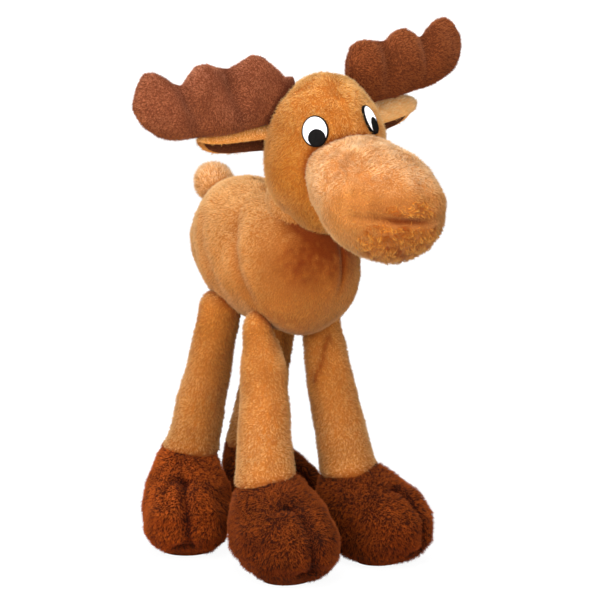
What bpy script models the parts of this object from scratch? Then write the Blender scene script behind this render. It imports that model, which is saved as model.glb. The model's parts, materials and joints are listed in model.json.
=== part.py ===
# Plush moose with long hanging legs, wide felt-like antlers and big hooves.
# It faces -Y, its own left is +X and up is +Z. All sizes are in metres.
# Every fabric cover is a thin shell, and its stuffing is a solid of its own inside it.

import math

import bmesh
import bpy
from mathutils import Matrix, Vector
from mathutils.bvhtree import BVHTree

# Fabric and fits
FABRIC = 0.0016
SEAT_GAP = 0.0003
STUFFING_GAP = 0.0004
HOOF_STUFFING_GAP = 0.0010
SWING_GAP = 0.0005
FAR = 1.0

# Torso, a fat bean that is deeper at the chest
TORSO_LENGTH = 0.138
TORSO_HALF_WIDTH = 0.041
TORSO_HALF_HEIGHT = 0.050
TORSO_CENTRE_Y = 0.010
TORSO_CENTRE_HEIGHT = 0.192
TORSO_FULLNESS = 2.6
torso_width_shares = (0.92, 0.98, 0.97, 1.0, 0.88)
torso_height_shares = (0.96, 0.94, 0.95, 1.0, 0.96)
torso_rise_shares = (0.20, 0.16, 0.06, -0.02, -0.02)

# Legs, tubes that widen a little towards the ankle
HIP_HALF_SPACING = 0.023
FRONT_HIP_Y = -0.008
REAR_HIP_Y = 0.036
HIP_RADIUS = 0.0145
HIP_DROP = 0.0070
ANKLE_RADIUS = 0.0185
ANKLE_HEIGHT = 0.060
FRONT_ANKLE_HALF_SPACING = 0.0335
REAR_RIGHT_ANKLE_SIDE = 0.028
REAR_LEFT_ANKLE_SIDE = 0.024
FRONT_ANKLE_Y = -0.024
REAR_ANKLE_Y = 0.066
SWING_OUT = 30
SWING_IN = 2
LEG_SEAT_SHARE = 0.3
leg_radius_shares = (0.0, 0.1, 0.4, 0.78, 1.0)

# Hooves, padded boots with a sewn cleft at the toe and a separate flat sole
HOOF_HALF_LENGTH = 0.0395
HOOF_HALF_WIDTH = 0.029
HOOF_FORWARD = 0.0215
HOOF_SQUARENESS = 2.4
SOLE_THICKNESS = 0.0022
CLEFT_DEPTH = 0.0022
CLEFT_HALF_ANGLE = 9
FRONT_RIGHT_HEADING = -5
FRONT_LEFT_HEADING = 12
REAR_RIGHT_HEADING = -38
REAR_LEFT_HEADING = 10
hoof_level_shares = (0.0, 0.1, 0.27, 0.5, 0.72, 0.9, 1.0)
hoof_reach_shares = (0.62, 0.84, 1.0, 0.96, 0.72, 0.26, 0.0)

# Neck, a stuffed ball that the head turns and nods on
NECK_Y = -0.024
NECK_HEIGHT = 0.226
NECK_RADIUS = 0.029
NECK_HALF_BAND = 0.017
NECK_TILT = 40
NECK_TURN = 20

# Head, an upright egg, turned and tilted a little at rest
HEAD_YAW = -9
NOD_UP = 15
NOD_DOWN = 8
HEAD_ROLL = 6
HEAD_CENTRE_FORWARD = 0.022
HEAD_CENTRE_RISE = 0.032
HEAD_HALF_HEIGHT = 0.050
HEAD_HALF_WIDTH = 0.0355
HEAD_HALF_DEPTH = 0.037
HEAD_FULLNESS = 2.3
head_width_shares = (0.84, 0.97, 1.03, 1.0, 0.92)
head_depth_shares = (0.86, 0.97, 1.0, 1.0, 0.95)
head_forward_shares = (0.02, 0.02, 0.0, -0.06, -0.12)

# Muzzle, a long round pad that slopes down and swells towards the nose
MUZZLE_LENGTH = 0.102
MUZZLE_HALF_WIDTH = 0.038
MUZZLE_HALF_HEIGHT = 0.0325
MUZZLE_CENTRE_FORWARD = 0.077
MUZZLE_CENTRE_RISE = 0.011
MUZZLE_SLOPE = 31
MUZZLE_FULLNESS = 2.4
muzzle_width_shares = (0.88, 0.92, 0.98, 1.0, 0.98)
muzzle_height_shares = (0.78, 0.86, 0.96, 1.02, 1.0)
muzzle_rise_shares = (-0.02, -0.03, -0.01, 0.02, 0.02)

# Embroidered eyes, three low pads each
EYE_HALF_WIDTH = 0.0078
EYE_HALF_HEIGHT = 0.0092
EYE_BORDER = 0.0011
EYE_THREAD = 0.0007
EYE_INNER_SHARE = 0.5
EYE_SEAT_GAP = 0.0006
PUPIL_HALF_WIDTH = 0.0052
PUPIL_HALF_HEIGHT = 0.0053
PUPIL_DROP = 0.0036
EYE_AZIMUTH = 32
EYE_RISE = 0.0200

# Antlers, flat stuffed palms with three lobes on their upper edge
ANTLER_LENGTH = 0.095
ANTLER_DEPTH = 0.042
ANTLER_HALF_THICKNESS = 0.0095
ANTLER_ROOT_RISE = 0.069
ANTLER_ROOT_BACK = -0.0145
ANTLER_ROOT_SEAT = 0.0025
RIGHT_ANTLER_SWEEP = 4
LEFT_ANTLER_SWEEP = -3
RIGHT_ANTLER_LIFT = 3
LEFT_ANTLER_LIFT = 15
ANTLER_CREASE_WIDTH = 0.0050
ANTLER_SWING = 25
ANTLER_CREASE_SHARE = 0.35
antler_length_shares = (
    0.0, 0.07, 0.14, 0.21, 0.28, 0.36, 0.44, 0.51,
    0.58, 0.63, 0.68, 0.74, 0.80, 0.86, 0.92, 0.97, 1.0,
)
left_antler_top_shares = (
    0.20, 0.24, 0.34, 0.47, 0.53, 0.46, 0.41, 0.47,
    0.49, 0.40, 0.28, 0.29, 0.36, 0.41, 0.39, 0.28, 0.11,
)
right_antler_top_shares = (
    0.36, 0.49, 0.59, 0.62, 0.54, 0.45, 0.46, 0.53,
    0.52, 0.40, 0.26, 0.29, 0.38, 0.45, 0.45, 0.32, 0.12,
)
antler_base_shares = (
    0.22, 0.27, 0.32, 0.36, 0.40, 0.44, 0.47, 0.48,
    0.49, 0.50, 0.51, 0.51, 0.49, 0.44, 0.34, 0.22, 0.09,
)
antler_thickness_shares = (0.66, 0.85, 1.0, 0.95, 0.45)
antler_crease_shares = (0.39, 0.70)

# Ears, cupped leaves with a brown lining under them
EAR_LENGTH = 0.043
EAR_HALF_WIDTH = 0.0125
EAR_THICKNESS = 0.0024
EAR_ROOT_RISE = 0.0444
EAR_ROOT_BACK = -0.004
EAR_ROOT_SEAT = 0.0015
EAR_SEAT_SHARE = 0.4
EAR_SWEEP = 2
RIGHT_EAR_LIFT = -7
LEFT_EAR_LIFT = 7
EAR_PITCH = 33
EAR_CUP = 0.003
EAR_SWING_DOWN = 30
EAR_SWING_UP = 5
ear_length_shares = (0.0, 0.12, 0.32, 0.55, 0.75, 0.9, 1.0)
ear_width_shares = (0.62, 0.78, 0.95, 1.0, 0.86, 0.56, 0.22)

# Tail, a short round stub
TAIL_LENGTH = 0.034
TAIL_RADIUS = 0.0125
TAIL_LIFT = 35
TAIL_SEAT = 0.012
TAIL_FULLNESS = 2.5
TAIL_SWING = 25
TAIL_HEIGHT_SHARE = 0.76
tail_radius_shares = (0.75, 0.85, 0.95, 1.0, 0.95)
tail_rise_shares = (0.0, 0.0, 0.0, 0.0, 0.0)

# Counts of sides, rings and steps
TORSO_SIDES = 22
TORSO_RINGS = 13
HEAD_SIDES = 20
HEAD_RINGS = 12
MUZZLE_SIDES = 20
MUZZLE_RINGS = 12
LEG_SIDES = 16
LEG_RINGS = 5
LEG_CAP_RINGS = 4
HOOF_SIDES = 22
SEAT_SIDES = 12
ANTLER_STEPS = 5
EAR_STEPS = 4
TAIL_SIDES = 14
TAIL_RINGS = 7
EYE_SIDES = 14
NECK_SIDES = 16
NECK_RINGS = 12
SWEEP_STEPS = 3
TURN_STEPS = 5

# Colours
TAN = (0.62, 0.23, 0.055)
ORANGE_TAN = (0.60, 0.20, 0.035)
LIGHT_TAN = (0.75, 0.36, 0.15)
HOOF_BROWN = (0.13, 0.028, 0.006)
SOLE_BROWN = (0.20, 0.055, 0.018)
ANTLER_BROWN = (0.20, 0.055, 0.022)
LINING_BROWN = (0.16, 0.05, 0.022)
THREAD_WHITE = (0.85, 0.83, 0.88)
THREAD_BLACK = (0.012, 0.010, 0.010)
FIBRE_WHITE = (0.80, 0.79, 0.76)

PLUSH_ROUGHNESS = 0.95
THREAD_ROUGHNESS = 0.6
SHARP_ANGLE = 50


def clear_scene():
    for old in list(bpy.data.objects):
        bpy.data.objects.remove(old, do_unlink=True)


def make_material(name, colour, roughness):
    material = bpy.data.materials.new(name)
    material.use_nodes = True
    shader = material.node_tree.nodes["Principled BSDF"]
    shader.inputs["Base Color"].default_value = (*colour, 1.0)
    shader.inputs["Roughness"].default_value = roughness
    shader.inputs["Metallic"].default_value = 0.0
    material.diffuse_color = (*colour, 1.0)
    return material


def make_materials():
    return {
        "tan": make_material("tan plush", TAN, PLUSH_ROUGHNESS),
        "orange": make_material("orange tan plush", ORANGE_TAN, PLUSH_ROUGHNESS),
        "light": make_material("light tan plush", LIGHT_TAN, PLUSH_ROUGHNESS),
        "hoof": make_material("red brown plush", HOOF_BROWN, PLUSH_ROUGHNESS),
        "sole": make_material("sole plush", SOLE_BROWN, PLUSH_ROUGHNESS),
        "antler": make_material("brown short plush", ANTLER_BROWN, PLUSH_ROUGHNESS),
        "lining": make_material("brown lining", LINING_BROWN, PLUSH_ROUGHNESS),
        "white": make_material("white thread", THREAD_WHITE, THREAD_ROUGHNESS),
        "black": make_material("black thread", THREAD_BLACK, THREAD_ROUGHNESS),
        "fibre": make_material("polyester fibre", FIBRE_WHITE, PLUSH_ROUGHNESS),
    }


def make_empty(name, location, parent, turn=None):
    empty = bpy.data.objects.new(name, None)
    empty.empty_display_size = HIP_RADIUS
    empty.location = location
    if turn is not None:
        empty.rotation_euler = turn.to_euler()
    empty.parent = parent
    bpy.context.scene.collection.objects.link(empty)
    return empty


def make_object(name, mesh_builder, material, parent):
    mesh = bpy.data.meshes.new(name)
    mesh_builder.to_mesh(mesh)
    mesh_builder.free()
    if material is not None:
        mesh.materials.append(material)
    mesh.shade_smooth()
    mesh.set_sharp_from_angle(angle=math.radians(SHARP_ANGLE))
    piece = bpy.data.objects.new(name, mesh)
    piece.parent = parent
    bpy.context.scene.collection.objects.link(piece)
    return piece


def make_cutter(name, mesh_builder, parent):
    cutter = make_object(name, mesh_builder, None, parent)
    cutter.hide_render = True
    cutter.display_type = "WIRE"
    return cutter


def cut(piece, cutter, operation="DIFFERENCE"):
    modifier = piece.modifiers.new(cutter.name, "BOOLEAN")
    modifier.operation = operation
    modifier.solver = "EXACT"
    modifier.object = cutter


def smooth_share(keys, place):
    """Value at a place from 0 to 1 on a smooth curve through evenly spaced keys."""
    span = place * (len(keys) - 1)
    start = min(int(span), len(keys) - 2)
    part = span - start
    before = keys[max(start - 1, 0)]
    near = keys[start]
    far = keys[start + 1]
    after = keys[min(start + 2, len(keys) - 1)]
    slope_near = (far - before) / 2
    slope_far = (after - near) / 2
    square = part * part
    cube = square * part
    return (
        (2 * cube - 3 * square + 1) * near
        + (cube - 2 * square + part) * slope_near
        + (3 * square - 2 * cube) * far
        + (cube - square) * slope_far
    )


def close_loop(mesh_builder, loop, point):
    """Closes a loop of vertices with a flat face, or with a fan to a point."""
    if point is None:
        mesh_builder.faces.new(loop)
        return
    pole = mesh_builder.verts.new(point)
    for index, vertex in enumerate(loop):
        mesh_builder.faces.new((vertex, loop[(index + 1) % len(loop)], pole))


def loft(rings, start_point=None, end_point=None, wrap=False):
    """Skin through rings of equal count. With wrap the last ring joins the first one."""
    mesh_builder = bmesh.new()
    loops = [[mesh_builder.verts.new(point) for point in ring] for ring in rings]
    pairs = list(zip(loops, loops[1:]))
    if wrap:
        pairs.append((loops[-1], loops[0]))
    else:
        close_loop(mesh_builder, loops[0], start_point)
        close_loop(mesh_builder, loops[-1], end_point)
    for lower, upper in pairs:
        for index in range(len(lower)):
            after = (index + 1) % len(lower)
            mesh_builder.faces.new((lower[index], lower[after], upper[after], upper[index]))
    bmesh.ops.recalc_face_normals(mesh_builder, faces=mesh_builder.faces)
    return mesh_builder


def ring_points(mesh_builder):
    return [vertex.co.copy() for vertex in mesh_builder.verts]


def circle(radius, centre, sides):
    points = []
    for side in range(sides):
        angle = 2 * math.pi * side / sides
        points.append(centre + Vector((radius * math.cos(angle), radius * math.sin(angle), 0)))
    return points


def stuffed_form(length, half_width, half_height, shares, fullness, inset, counts):
    """Closed form along local -Y, from its back end to its front end, that swells by the shares."""
    width_shares, height_shares, rise_shares = shares
    sides, ring_count = counts
    rings = []
    for ring_index in range(1, ring_count):
        place = (1 - math.cos(math.pi * ring_index / ring_count)) / 2
        rounding = math.sqrt(1 - abs(2 * place - 1) ** fullness)
        width = (half_width * smooth_share(width_shares, place) - inset) * rounding
        height = (half_height * smooth_share(height_shares, place) - inset) * rounding
        rise = half_height * smooth_share(rise_shares, place)
        along = (length / 2 - inset) * (1 - 2 * place)
        ring = []
        for side in range(sides):
            angle = 2 * math.pi * side / sides
            ring.append(Vector((width * math.cos(angle), along, rise + height * math.sin(angle))))
        rings.append(ring)
    back = Vector((0, length / 2 - inset, half_height * rise_shares[0]))
    front = Vector((0, inset - length / 2, half_height * rise_shares[-1]))
    return loft(rings, back, front)


def surface_tree(mesh_builder):
    mesh_builder.normal_update()
    return BVHTree.FromBMesh(mesh_builder)


def grown(mesh_builder, distance):
    """The shape with each point moved out along its normal."""
    mesh_builder.normal_update()
    moves = [(vertex, vertex.normal.copy()) for vertex in mesh_builder.verts]
    for vertex, normal in moves:
        vertex.co += normal * distance
    return mesh_builder


def turned(points, axis, first_angle, last_angle, steps):
    """The points at every step of a turn about an axis through the origin."""
    moved = []
    for step in range(steps):
        angle = first_angle + (last_angle - first_angle) * step / (steps - 1)
        turn = Matrix.Rotation(math.radians(angle), 3, axis)
        moved += [turn @ point for point in points]
    return moved


def hull(points):
    mesh_builder = bmesh.new()
    for point in points:
        mesh_builder.verts.new(point)
    bmesh.ops.convex_hull(mesh_builder, input=mesh_builder.verts)
    loose = [vertex for vertex in mesh_builder.verts if not vertex.link_faces]
    bmesh.ops.delete(mesh_builder, geom=loose, context="VERTS")
    bmesh.ops.recalc_face_normals(mesh_builder, faces=mesh_builder.faces)
    return mesh_builder


def swept_hull(points, axis, first_angle, last_angle, distance):
    """Convex solid round points that turn about an axis through the origin."""
    return grown(hull(turned(points, axis, first_angle, last_angle, SWEEP_STEPS)), distance)


# Torso

def torso_form(inset):
    shares = (torso_width_shares, torso_height_shares, torso_rise_shares)
    form = stuffed_form(
        TORSO_LENGTH, TORSO_HALF_WIDTH, TORSO_HALF_HEIGHT, shares, TORSO_FULLNESS, inset,
        (TORSO_SIDES, TORSO_RINGS),
    )
    form.transform(Matrix.Translation((0, TORSO_CENTRE_Y, TORSO_CENTRE_HEIGHT)))
    return form


def make_torso(root, materials):
    casing = make_object("torso_casing", torso_form(0), materials["tan"], root)
    cut(casing, make_cutter("torso_hollow", torso_form(FABRIC), root))
    stuffing = make_object("torso_stuffing", torso_form(FABRIC + STUFFING_GAP), materials["fibre"], root)
    return casing, stuffing


# Legs and hooves

def leg_rings(hip, ankle, inset, sides=LEG_SIDES):
    """Level rings from the round top down to the ankle, in the frame of the hip."""
    rings = []
    for cap_index in range(1, LEG_CAP_RINGS):
        angle = math.radians(90) * (1 - cap_index / LEG_CAP_RINGS)
        radius = (HIP_RADIUS - inset) * math.cos(angle)
        height = (HIP_RADIUS - inset) * math.sin(angle)
        rings.append(circle(radius, Vector((0, 0, height)), sides))
    for ring_index in range(LEG_RINGS + 1):
        share = ring_index / LEG_RINGS
        widening = smooth_share(leg_radius_shares, share)
        radius = HIP_RADIUS + (ANKLE_RADIUS - HIP_RADIUS) * widening - inset
        rings.append(circle(radius, (ankle - hip) * share, sides))
    return rings


def hip_sweep_points(hip, ankle):
    """Points just round the top of the leg, for the seat that it swings in."""
    inset = HIP_RADIUS - HIP_RADIUS / math.cos(math.pi / SEAT_SIDES)
    lowest = (ankle.z - hip.z) * LEG_SEAT_SHARE
    points = [Vector((0, 0, HIP_RADIUS))]
    for ring in leg_rings(hip, ankle, inset, SEAT_SIDES):
        if ring[0].z > lowest:
            points += ring
    return points


def hoof_outline(level, reach, inset, sides, start=0.0):
    """Level outline. Reach 0 is the ankle's circle and reach 1 the full boot, toe at -Y."""
    width = ANKLE_RADIUS + (HOOF_HALF_WIDTH - ANKLE_RADIUS) * reach - inset
    length = ANKLE_RADIUS + (HOOF_HALF_LENGTH - ANKLE_RADIUS) * reach - inset
    power = 2 + (HOOF_SQUARENESS - 2) * reach
    points = []
    for side in range(sides):
        angle = start + 2 * math.pi * side / sides
        across = math.copysign(abs(math.sin(angle)) ** (2 / power), math.sin(angle))
        along = math.copysign(abs(math.cos(angle)) ** (2 / power), math.cos(angle))
        off_toe = math.degrees(math.acos(max(-1, min(1, math.cos(angle)))))
        notch = CLEFT_DEPTH * reach * math.exp(-((off_toe / CLEFT_HALF_ANGLE) ** 2))
        points.append(Vector((width * across, notch - HOOF_FORWARD * reach - length * along, level)))
    return points


def hoof_outlines(inset, sides, start=0.0):
    """Outlines from the sole's top up to the ankle, in the frame of the ankle."""
    bottom = SOLE_THICKNESS + SEAT_GAP - ANKLE_HEIGHT
    outlines = []
    for level_share, reach in zip(hoof_level_shares, hoof_reach_shares):
        level = bottom * (1 - level_share)
        if level_share < 1:
            level -= inset * level_share
        outlines.append(hoof_outline(level, reach, inset, sides, start))
    return outlines


def make_leg(name, hip_empty, hip, ankle, heading, materials):
    """Leg cover, hoof cover, sole and the one filling of both, all on one hip."""
    leg_bottom = ankle + Vector((0, 0, SEAT_GAP))
    outer = leg_rings(hip, leg_bottom, 0)
    inner = leg_rings(hip, leg_bottom, FABRIC)
    top = Vector((0, 0, HIP_RADIUS))
    inner_top = Vector((0, 0, HIP_RADIUS - FABRIC))
    cover = loft(outer + inner[::-1], top, inner_top)
    make_object(f"{name}_leg_casing", cover, materials["tan"], hip_empty)

    turn = Matrix.Rotation(math.radians(heading), 3, "Z")
    foot = make_empty(f"{name}_ankle", ankle - hip, hip_empty, turn)
    boot = loft(hoof_outlines(0, HOOF_SIDES) + hoof_outlines(FABRIC, HOOF_SIDES)[::-1], wrap=True)
    make_object(f"{name}_hoof_casing", boot, materials["hoof"], foot)

    reach = hoof_reach_shares[0]
    bottom = hoof_outline(-ANKLE_HEIGHT, reach, SOLE_THICKNESS, HOOF_SIDES)
    edge = hoof_outline(SOLE_THICKNESS - ANKLE_HEIGHT, reach, 0, HOOF_SIDES)
    make_object(f"{name}_hoof_sole", loft([bottom, edge]), materials["sole"], foot)

    inset = FABRIC + STUFFING_GAP
    step = 2 * math.pi / LEG_SIDES
    toe_start = step * round(math.radians(90 - heading) / step)
    rings = leg_rings(hip, ankle, inset)[:-1]
    for outline in hoof_outlines(FABRIC + HOOF_STUFFING_GAP, LEG_SIDES, toe_start)[::-1]:
        rings.append([ankle - hip + turn @ point for point in outline])
    filling = loft(rings, Vector((0, 0, HIP_RADIUS - inset)))
    make_object(f"{name}_leg_stuffing", filling, materials["fibre"], hip_empty)


def make_legs(root, torso_pieces, materials):
    tree = surface_tree(torso_form(0))
    rows = (
        ("front_right", -1, FRONT_HIP_Y, FRONT_ANKLE_HALF_SPACING, FRONT_ANKLE_Y, FRONT_RIGHT_HEADING),
        ("front_left", 1, FRONT_HIP_Y, FRONT_ANKLE_HALF_SPACING, FRONT_ANKLE_Y, FRONT_LEFT_HEADING),
        ("rear_right", -1, REAR_HIP_Y, REAR_RIGHT_ANKLE_SIDE, REAR_ANKLE_Y, REAR_RIGHT_HEADING),
        ("rear_left", 1, REAR_HIP_Y, REAR_LEFT_ANKLE_SIDE, REAR_ANKLE_Y, REAR_LEFT_HEADING),
    )
    for name, side, hip_y, ankle_side, ankle_y, heading in rows:
        below = Vector((side * HIP_HALF_SPACING, hip_y, 0))
        belly = tree.ray_cast(below, Vector((0, 0, 1)))[0]
        hip = belly - Vector((0, 0, HIP_DROP))
        ankle = Vector((side * ankle_side, ankle_y, ANKLE_HEIGHT))
        hip_empty = make_empty(f"{name}_hip", hip, root)
        make_leg(name, hip_empty, hip, ankle, heading, materials)
        outward = -1 if hip_y < REAR_HIP_Y else 1
        points = hip_sweep_points(hip, ankle)
        sweep = swept_hull(points, "X", -outward * SWING_IN, outward * SWING_OUT, SWING_GAP)
        seat = make_cutter(f"{name}_hip_seat", sweep, hip_empty)
        for piece in torso_pieces:
            cut(piece, seat)


# Neck

def neck_band(inset):
    """Rings of the neck's barrel, from its lower edge to its upper one."""
    rings = []
    steps = NECK_RINGS // 2
    for step in range(steps + 1):
        height = NECK_HALF_BAND * (2 * step / steps - 1)
        radius = math.sqrt((NECK_RADIUS - inset) ** 2 - height ** 2)
        rings.append(circle(radius, Vector((0, 0, height)), NECK_SIDES))
    return rings


def make_neck(neck_empty, materials):
    band = loft(neck_band(0) + neck_band(FABRIC)[::-1], wrap=True)
    make_object("neck_casing", band, materials["tan"], neck_empty)
    filling = bmesh.new()
    bmesh.ops.create_uvsphere(
        filling, u_segments=NECK_SIDES, v_segments=NECK_RINGS,
        radius=NECK_RADIUS - FABRIC - STUFFING_GAP,
    )
    make_object("neck_stuffing", filling, materials["fibre"], neck_empty)
    socket = bmesh.new()
    roundness = math.cos(math.pi / NECK_SIDES) * math.cos(math.pi / (2 * NECK_RINGS))
    bmesh.ops.create_uvsphere(
        socket, u_segments=NECK_SIDES, v_segments=NECK_RINGS,
        radius=(NECK_RADIUS + SEAT_GAP) / roundness,
    )
    socket.transform(Matrix.Rotation(math.pi / NECK_SIDES, 4, "Z"))
    return make_cutter("neck_socket", socket, neck_empty)


# Head and muzzle, in a frame whose origin is the neck's centre

def head_form(inset):
    shares = (head_width_shares, head_depth_shares, head_forward_shares)
    form = stuffed_form(
        2 * HEAD_HALF_HEIGHT, HEAD_HALF_WIDTH, HEAD_HALF_DEPTH, shares, HEAD_FULLNESS, inset,
        (HEAD_SIDES, HEAD_RINGS),
    )
    upright = Matrix.Rotation(math.radians(-90), 4, "X")
    form.transform(Matrix.Translation((0, -HEAD_CENTRE_FORWARD, HEAD_CENTRE_RISE)) @ upright)
    return form


def muzzle_form(inset):
    shares = (muzzle_width_shares, muzzle_height_shares, muzzle_rise_shares)
    form = stuffed_form(
        MUZZLE_LENGTH, MUZZLE_HALF_WIDTH, MUZZLE_HALF_HEIGHT, shares, MUZZLE_FULLNESS, inset,
        (MUZZLE_SIDES, MUZZLE_RINGS),
    )
    slope = Matrix.Rotation(math.radians(MUZZLE_SLOPE), 4, "X")
    form.transform(Matrix.Translation((0, -MUZZLE_CENTRE_FORWARD, MUZZLE_CENTRE_RISE)) @ slope)
    return form


def make_head(head_empty, materials):
    skull = make_object("head_casing", head_form(0), materials["orange"], head_empty)
    cut(skull, make_cutter("head_hollow", head_form(FABRIC), head_empty))
    cut(skull, make_cutter("muzzle_hole", muzzle_form(-SEAT_GAP), head_empty))
    pad = make_object("muzzle_casing", muzzle_form(0), materials["light"], head_empty)
    cut(pad, make_cutter("muzzle_hollow", muzzle_form(FABRIC), head_empty))
    cut(pad, make_cutter("head_outline", head_form(0), head_empty))
    inset = FABRIC + STUFFING_GAP
    filling = make_object("head_stuffing", head_form(inset), materials["fibre"], head_empty)
    cut(filling, make_cutter("muzzle_filling", muzzle_form(inset), head_empty), "UNION")
    return skull, pad, filling


def make_head_pocket(form, name, neck_axis, head_empty):
    """Room that part of the head needs in the torso, as it nods and turns."""
    nodded = turned(ring_points(form), "X", -NOD_UP, NOD_DOWN, SWEEP_STEPS)
    form.free()
    swept = turned(nodded, neck_axis, -NECK_TURN, NECK_TURN, TURN_STEPS)
    return make_cutter(name, grown(hull(swept), SWING_GAP), head_empty)


# Eyes

def eye_pads(tree, side):
    """Border, white and pupil as low pads that follow the face."""
    azimuth = math.radians(EYE_AZIMUTH) * side
    inward = Vector((-math.sin(azimuth), math.cos(azimuth), 0))
    centre = Vector((0, -HEAD_CENTRE_FORWARD, HEAD_CENTRE_RISE + EYE_RISE))
    spot, normal = tree.ray_cast(centre - inward * FAR, inward)[:2]
    if normal.dot(inward) > 0:
        normal = -normal
    right = Vector((0, 0, 1)).cross(normal).normalized()
    up = normal.cross(right)

    def ring(half_width, half_height, drop, lift):
        points = []
        for step in range(EYE_SIDES):
            angle = 2 * math.pi * step / EYE_SIDES
            offset = right * half_width * math.cos(angle) + up * (half_height * math.sin(angle) - drop)
            hit = tree.ray_cast(spot + offset + normal * FAR, -normal)[0]
            points.append(hit + normal * lift)
        return points

    low = EYE_SEAT_GAP
    high = EYE_SEAT_GAP + EYE_THREAD
    wide = EYE_HALF_WIDTH + EYE_BORDER
    tall = EYE_HALF_HEIGHT + EYE_BORDER
    near_wide = EYE_HALF_WIDTH + SEAT_GAP
    near_tall = EYE_HALF_HEIGHT + SEAT_GAP
    border = loft(
        [
            ring(near_wide, near_tall, 0, low), ring(wide, tall, 0, low),
            ring(wide, tall, 0, high), ring(near_wide, near_tall, 0, high),
        ],
        wrap=True,
    )

    def pad(half_width, half_height, drop, bottom, top):
        centre_hit = tree.ray_cast(spot - up * drop + normal * FAR, -normal)[0]
        rings = [
            ring(half_width * EYE_INNER_SHARE, half_height * EYE_INNER_SHARE, drop, bottom),
            ring(half_width, half_height, drop, bottom),
            ring(half_width, half_height, drop, top),
            ring(half_width * EYE_INNER_SHARE, half_height * EYE_INNER_SHARE, drop, top),
        ]
        return loft(rings, centre_hit + normal * bottom, centre_hit + normal * top)

    white = pad(EYE_HALF_WIDTH, EYE_HALF_HEIGHT, 0, low, high)
    above = high + SEAT_GAP
    pupil = pad(PUPIL_HALF_WIDTH, PUPIL_HALF_HEIGHT, PUPIL_DROP, above, above + EYE_THREAD)
    return border, white, pupil


def make_eyes(head_empty, tree, materials):
    for name, side in (("right", -1), ("left", 1)):
        border, white, pupil = eye_pads(tree, side)
        make_object(f"{name}_eye_border", border, materials["black"], head_empty)
        make_object(f"{name}_eye_white", white, materials["white"], head_empty)
        make_object(f"{name}_eye_pupil", pupil, materials["black"], head_empty)


# Antlers, each in a frame whose origin is on its root seam

def antler_sections(side):
    """Place along, middle height, half height, half thickness and crease of each section."""
    sections = []
    top_shares = left_antler_top_shares if side > 0 else right_antler_top_shares
    for along_share, top, base in zip(antler_length_shares, top_shares, antler_base_shares):
        along = ANTLER_LENGTH * along_share
        middle = ANTLER_DEPTH * (top - base) / 2
        half = ANTLER_DEPTH * (top + base) / 2
        thickness = ANTLER_HALF_THICKNESS * smooth_share(antler_thickness_shares, along_share)
        crease = 0
        for crease_share in antler_crease_shares:
            distance = (along - ANTLER_LENGTH * crease_share) / ANTLER_CREASE_WIDTH
            crease += ANTLER_CREASE_SHARE * math.exp(-(distance ** 2))
        sections.append((along, middle, half, thickness, crease))
    return sections


def antler_arc(section, inset, side, face):
    """Half of a section, from its lower seam to its upper one, on the front or back face."""
    along, middle, half, thickness, crease = section
    points = []
    for step in range(ANTLER_STEPS + 1):
        angle = math.pi * step / ANTLER_STEPS - math.pi / 2
        height = math.sin(angle)
        hollow = 1 - crease * max(0, height)
        depth = (thickness * hollow - inset) * math.cos(angle)
        points.append(Vector((side * along, face * depth, middle + (half - inset) * height)))
    return points


def antler_panel(side, face):
    rings = []
    for section in antler_sections(side):
        outer = antler_arc(section, 0, side, face)
        inner = antler_arc(section, FABRIC, side, face)
        rings.append([point + Vector((0, face * SEAT_GAP / 2, 0)) for point in outer + inner[::-1]])
    return loft(rings)


def antler_outline(inset, side):
    rings = []
    for section in antler_sections(side):
        front = antler_arc(section, inset, side, -1)
        back = antler_arc(section, inset, side, 1)
        rings.append(front + back[-2:0:-1])
    return rings


def make_antlers(head_empty, tree, head_pieces, materials):
    rows = (
        ("right", -1, RIGHT_ANTLER_LIFT, RIGHT_ANTLER_SWEEP),
        ("left", 1, LEFT_ANTLER_LIFT, LEFT_ANTLER_SWEEP),
    )
    for name, side, rise, back in rows:
        beside = Vector((side * FAR, ANTLER_ROOT_BACK, ANTLER_ROOT_RISE))
        root = tree.ray_cast(beside, Vector((-side, 0, 0)))[0]
        root.x -= side * ANTLER_ROOT_SEAT
        sweep = Matrix.Rotation(math.radians(side * back), 3, "Z")
        lift = Matrix.Rotation(math.radians(-side * rise), 3, "Y")
        empty = make_empty(f"{name}_antler_root", root, head_empty, sweep @ lift)
        make_object(f"{name}_antler_front", antler_panel(side, -1), materials["antler"], empty)
        make_object(f"{name}_antler_back", antler_panel(side, 1), materials["antler"], empty)
        filling = loft(antler_outline(FABRIC + STUFFING_GAP, side))
        make_object(f"{name}_antler_stuffing", filling, materials["fibre"], empty)
        rings = antler_outline(-SEAT_GAP, side)[:3]
        points = [point for ring in rings for point in ring]
        seat = swept_hull(points, "Z", -ANTLER_SWING, ANTLER_SWING, SWING_GAP)
        seat = make_cutter(f"{name}_antler_seat", seat, empty)
        for piece in head_pieces:
            cut(piece, seat)


# Ears, each in a frame whose origin is on its root seam

def ear_slab(side, face):
    """One cupped leaf of fabric: face 1 is the outer side, face -1 the lining."""
    rings = []
    for along_share, width_share in zip(ear_length_shares, ear_width_shares):
        along = side * EAR_LENGTH * along_share
        half = EAR_HALF_WIDTH * width_share
        near = []
        far = []
        for step in range(EAR_STEPS + 1):
            across = 2 * step / EAR_STEPS - 1
            cup = EAR_CUP * width_share * (1 - across ** 2)
            thickness = EAR_THICKNESS * math.sqrt(1 - (across * (1 - 1 / EAR_STEPS)) ** 2)
            near.append(Vector((along, cup + face * SEAT_GAP / 2, half * across)))
            far.append(Vector((along, cup + face * thickness, half * across)))
        rings.append(near + far[::-1])
    return loft(rings)


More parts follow.
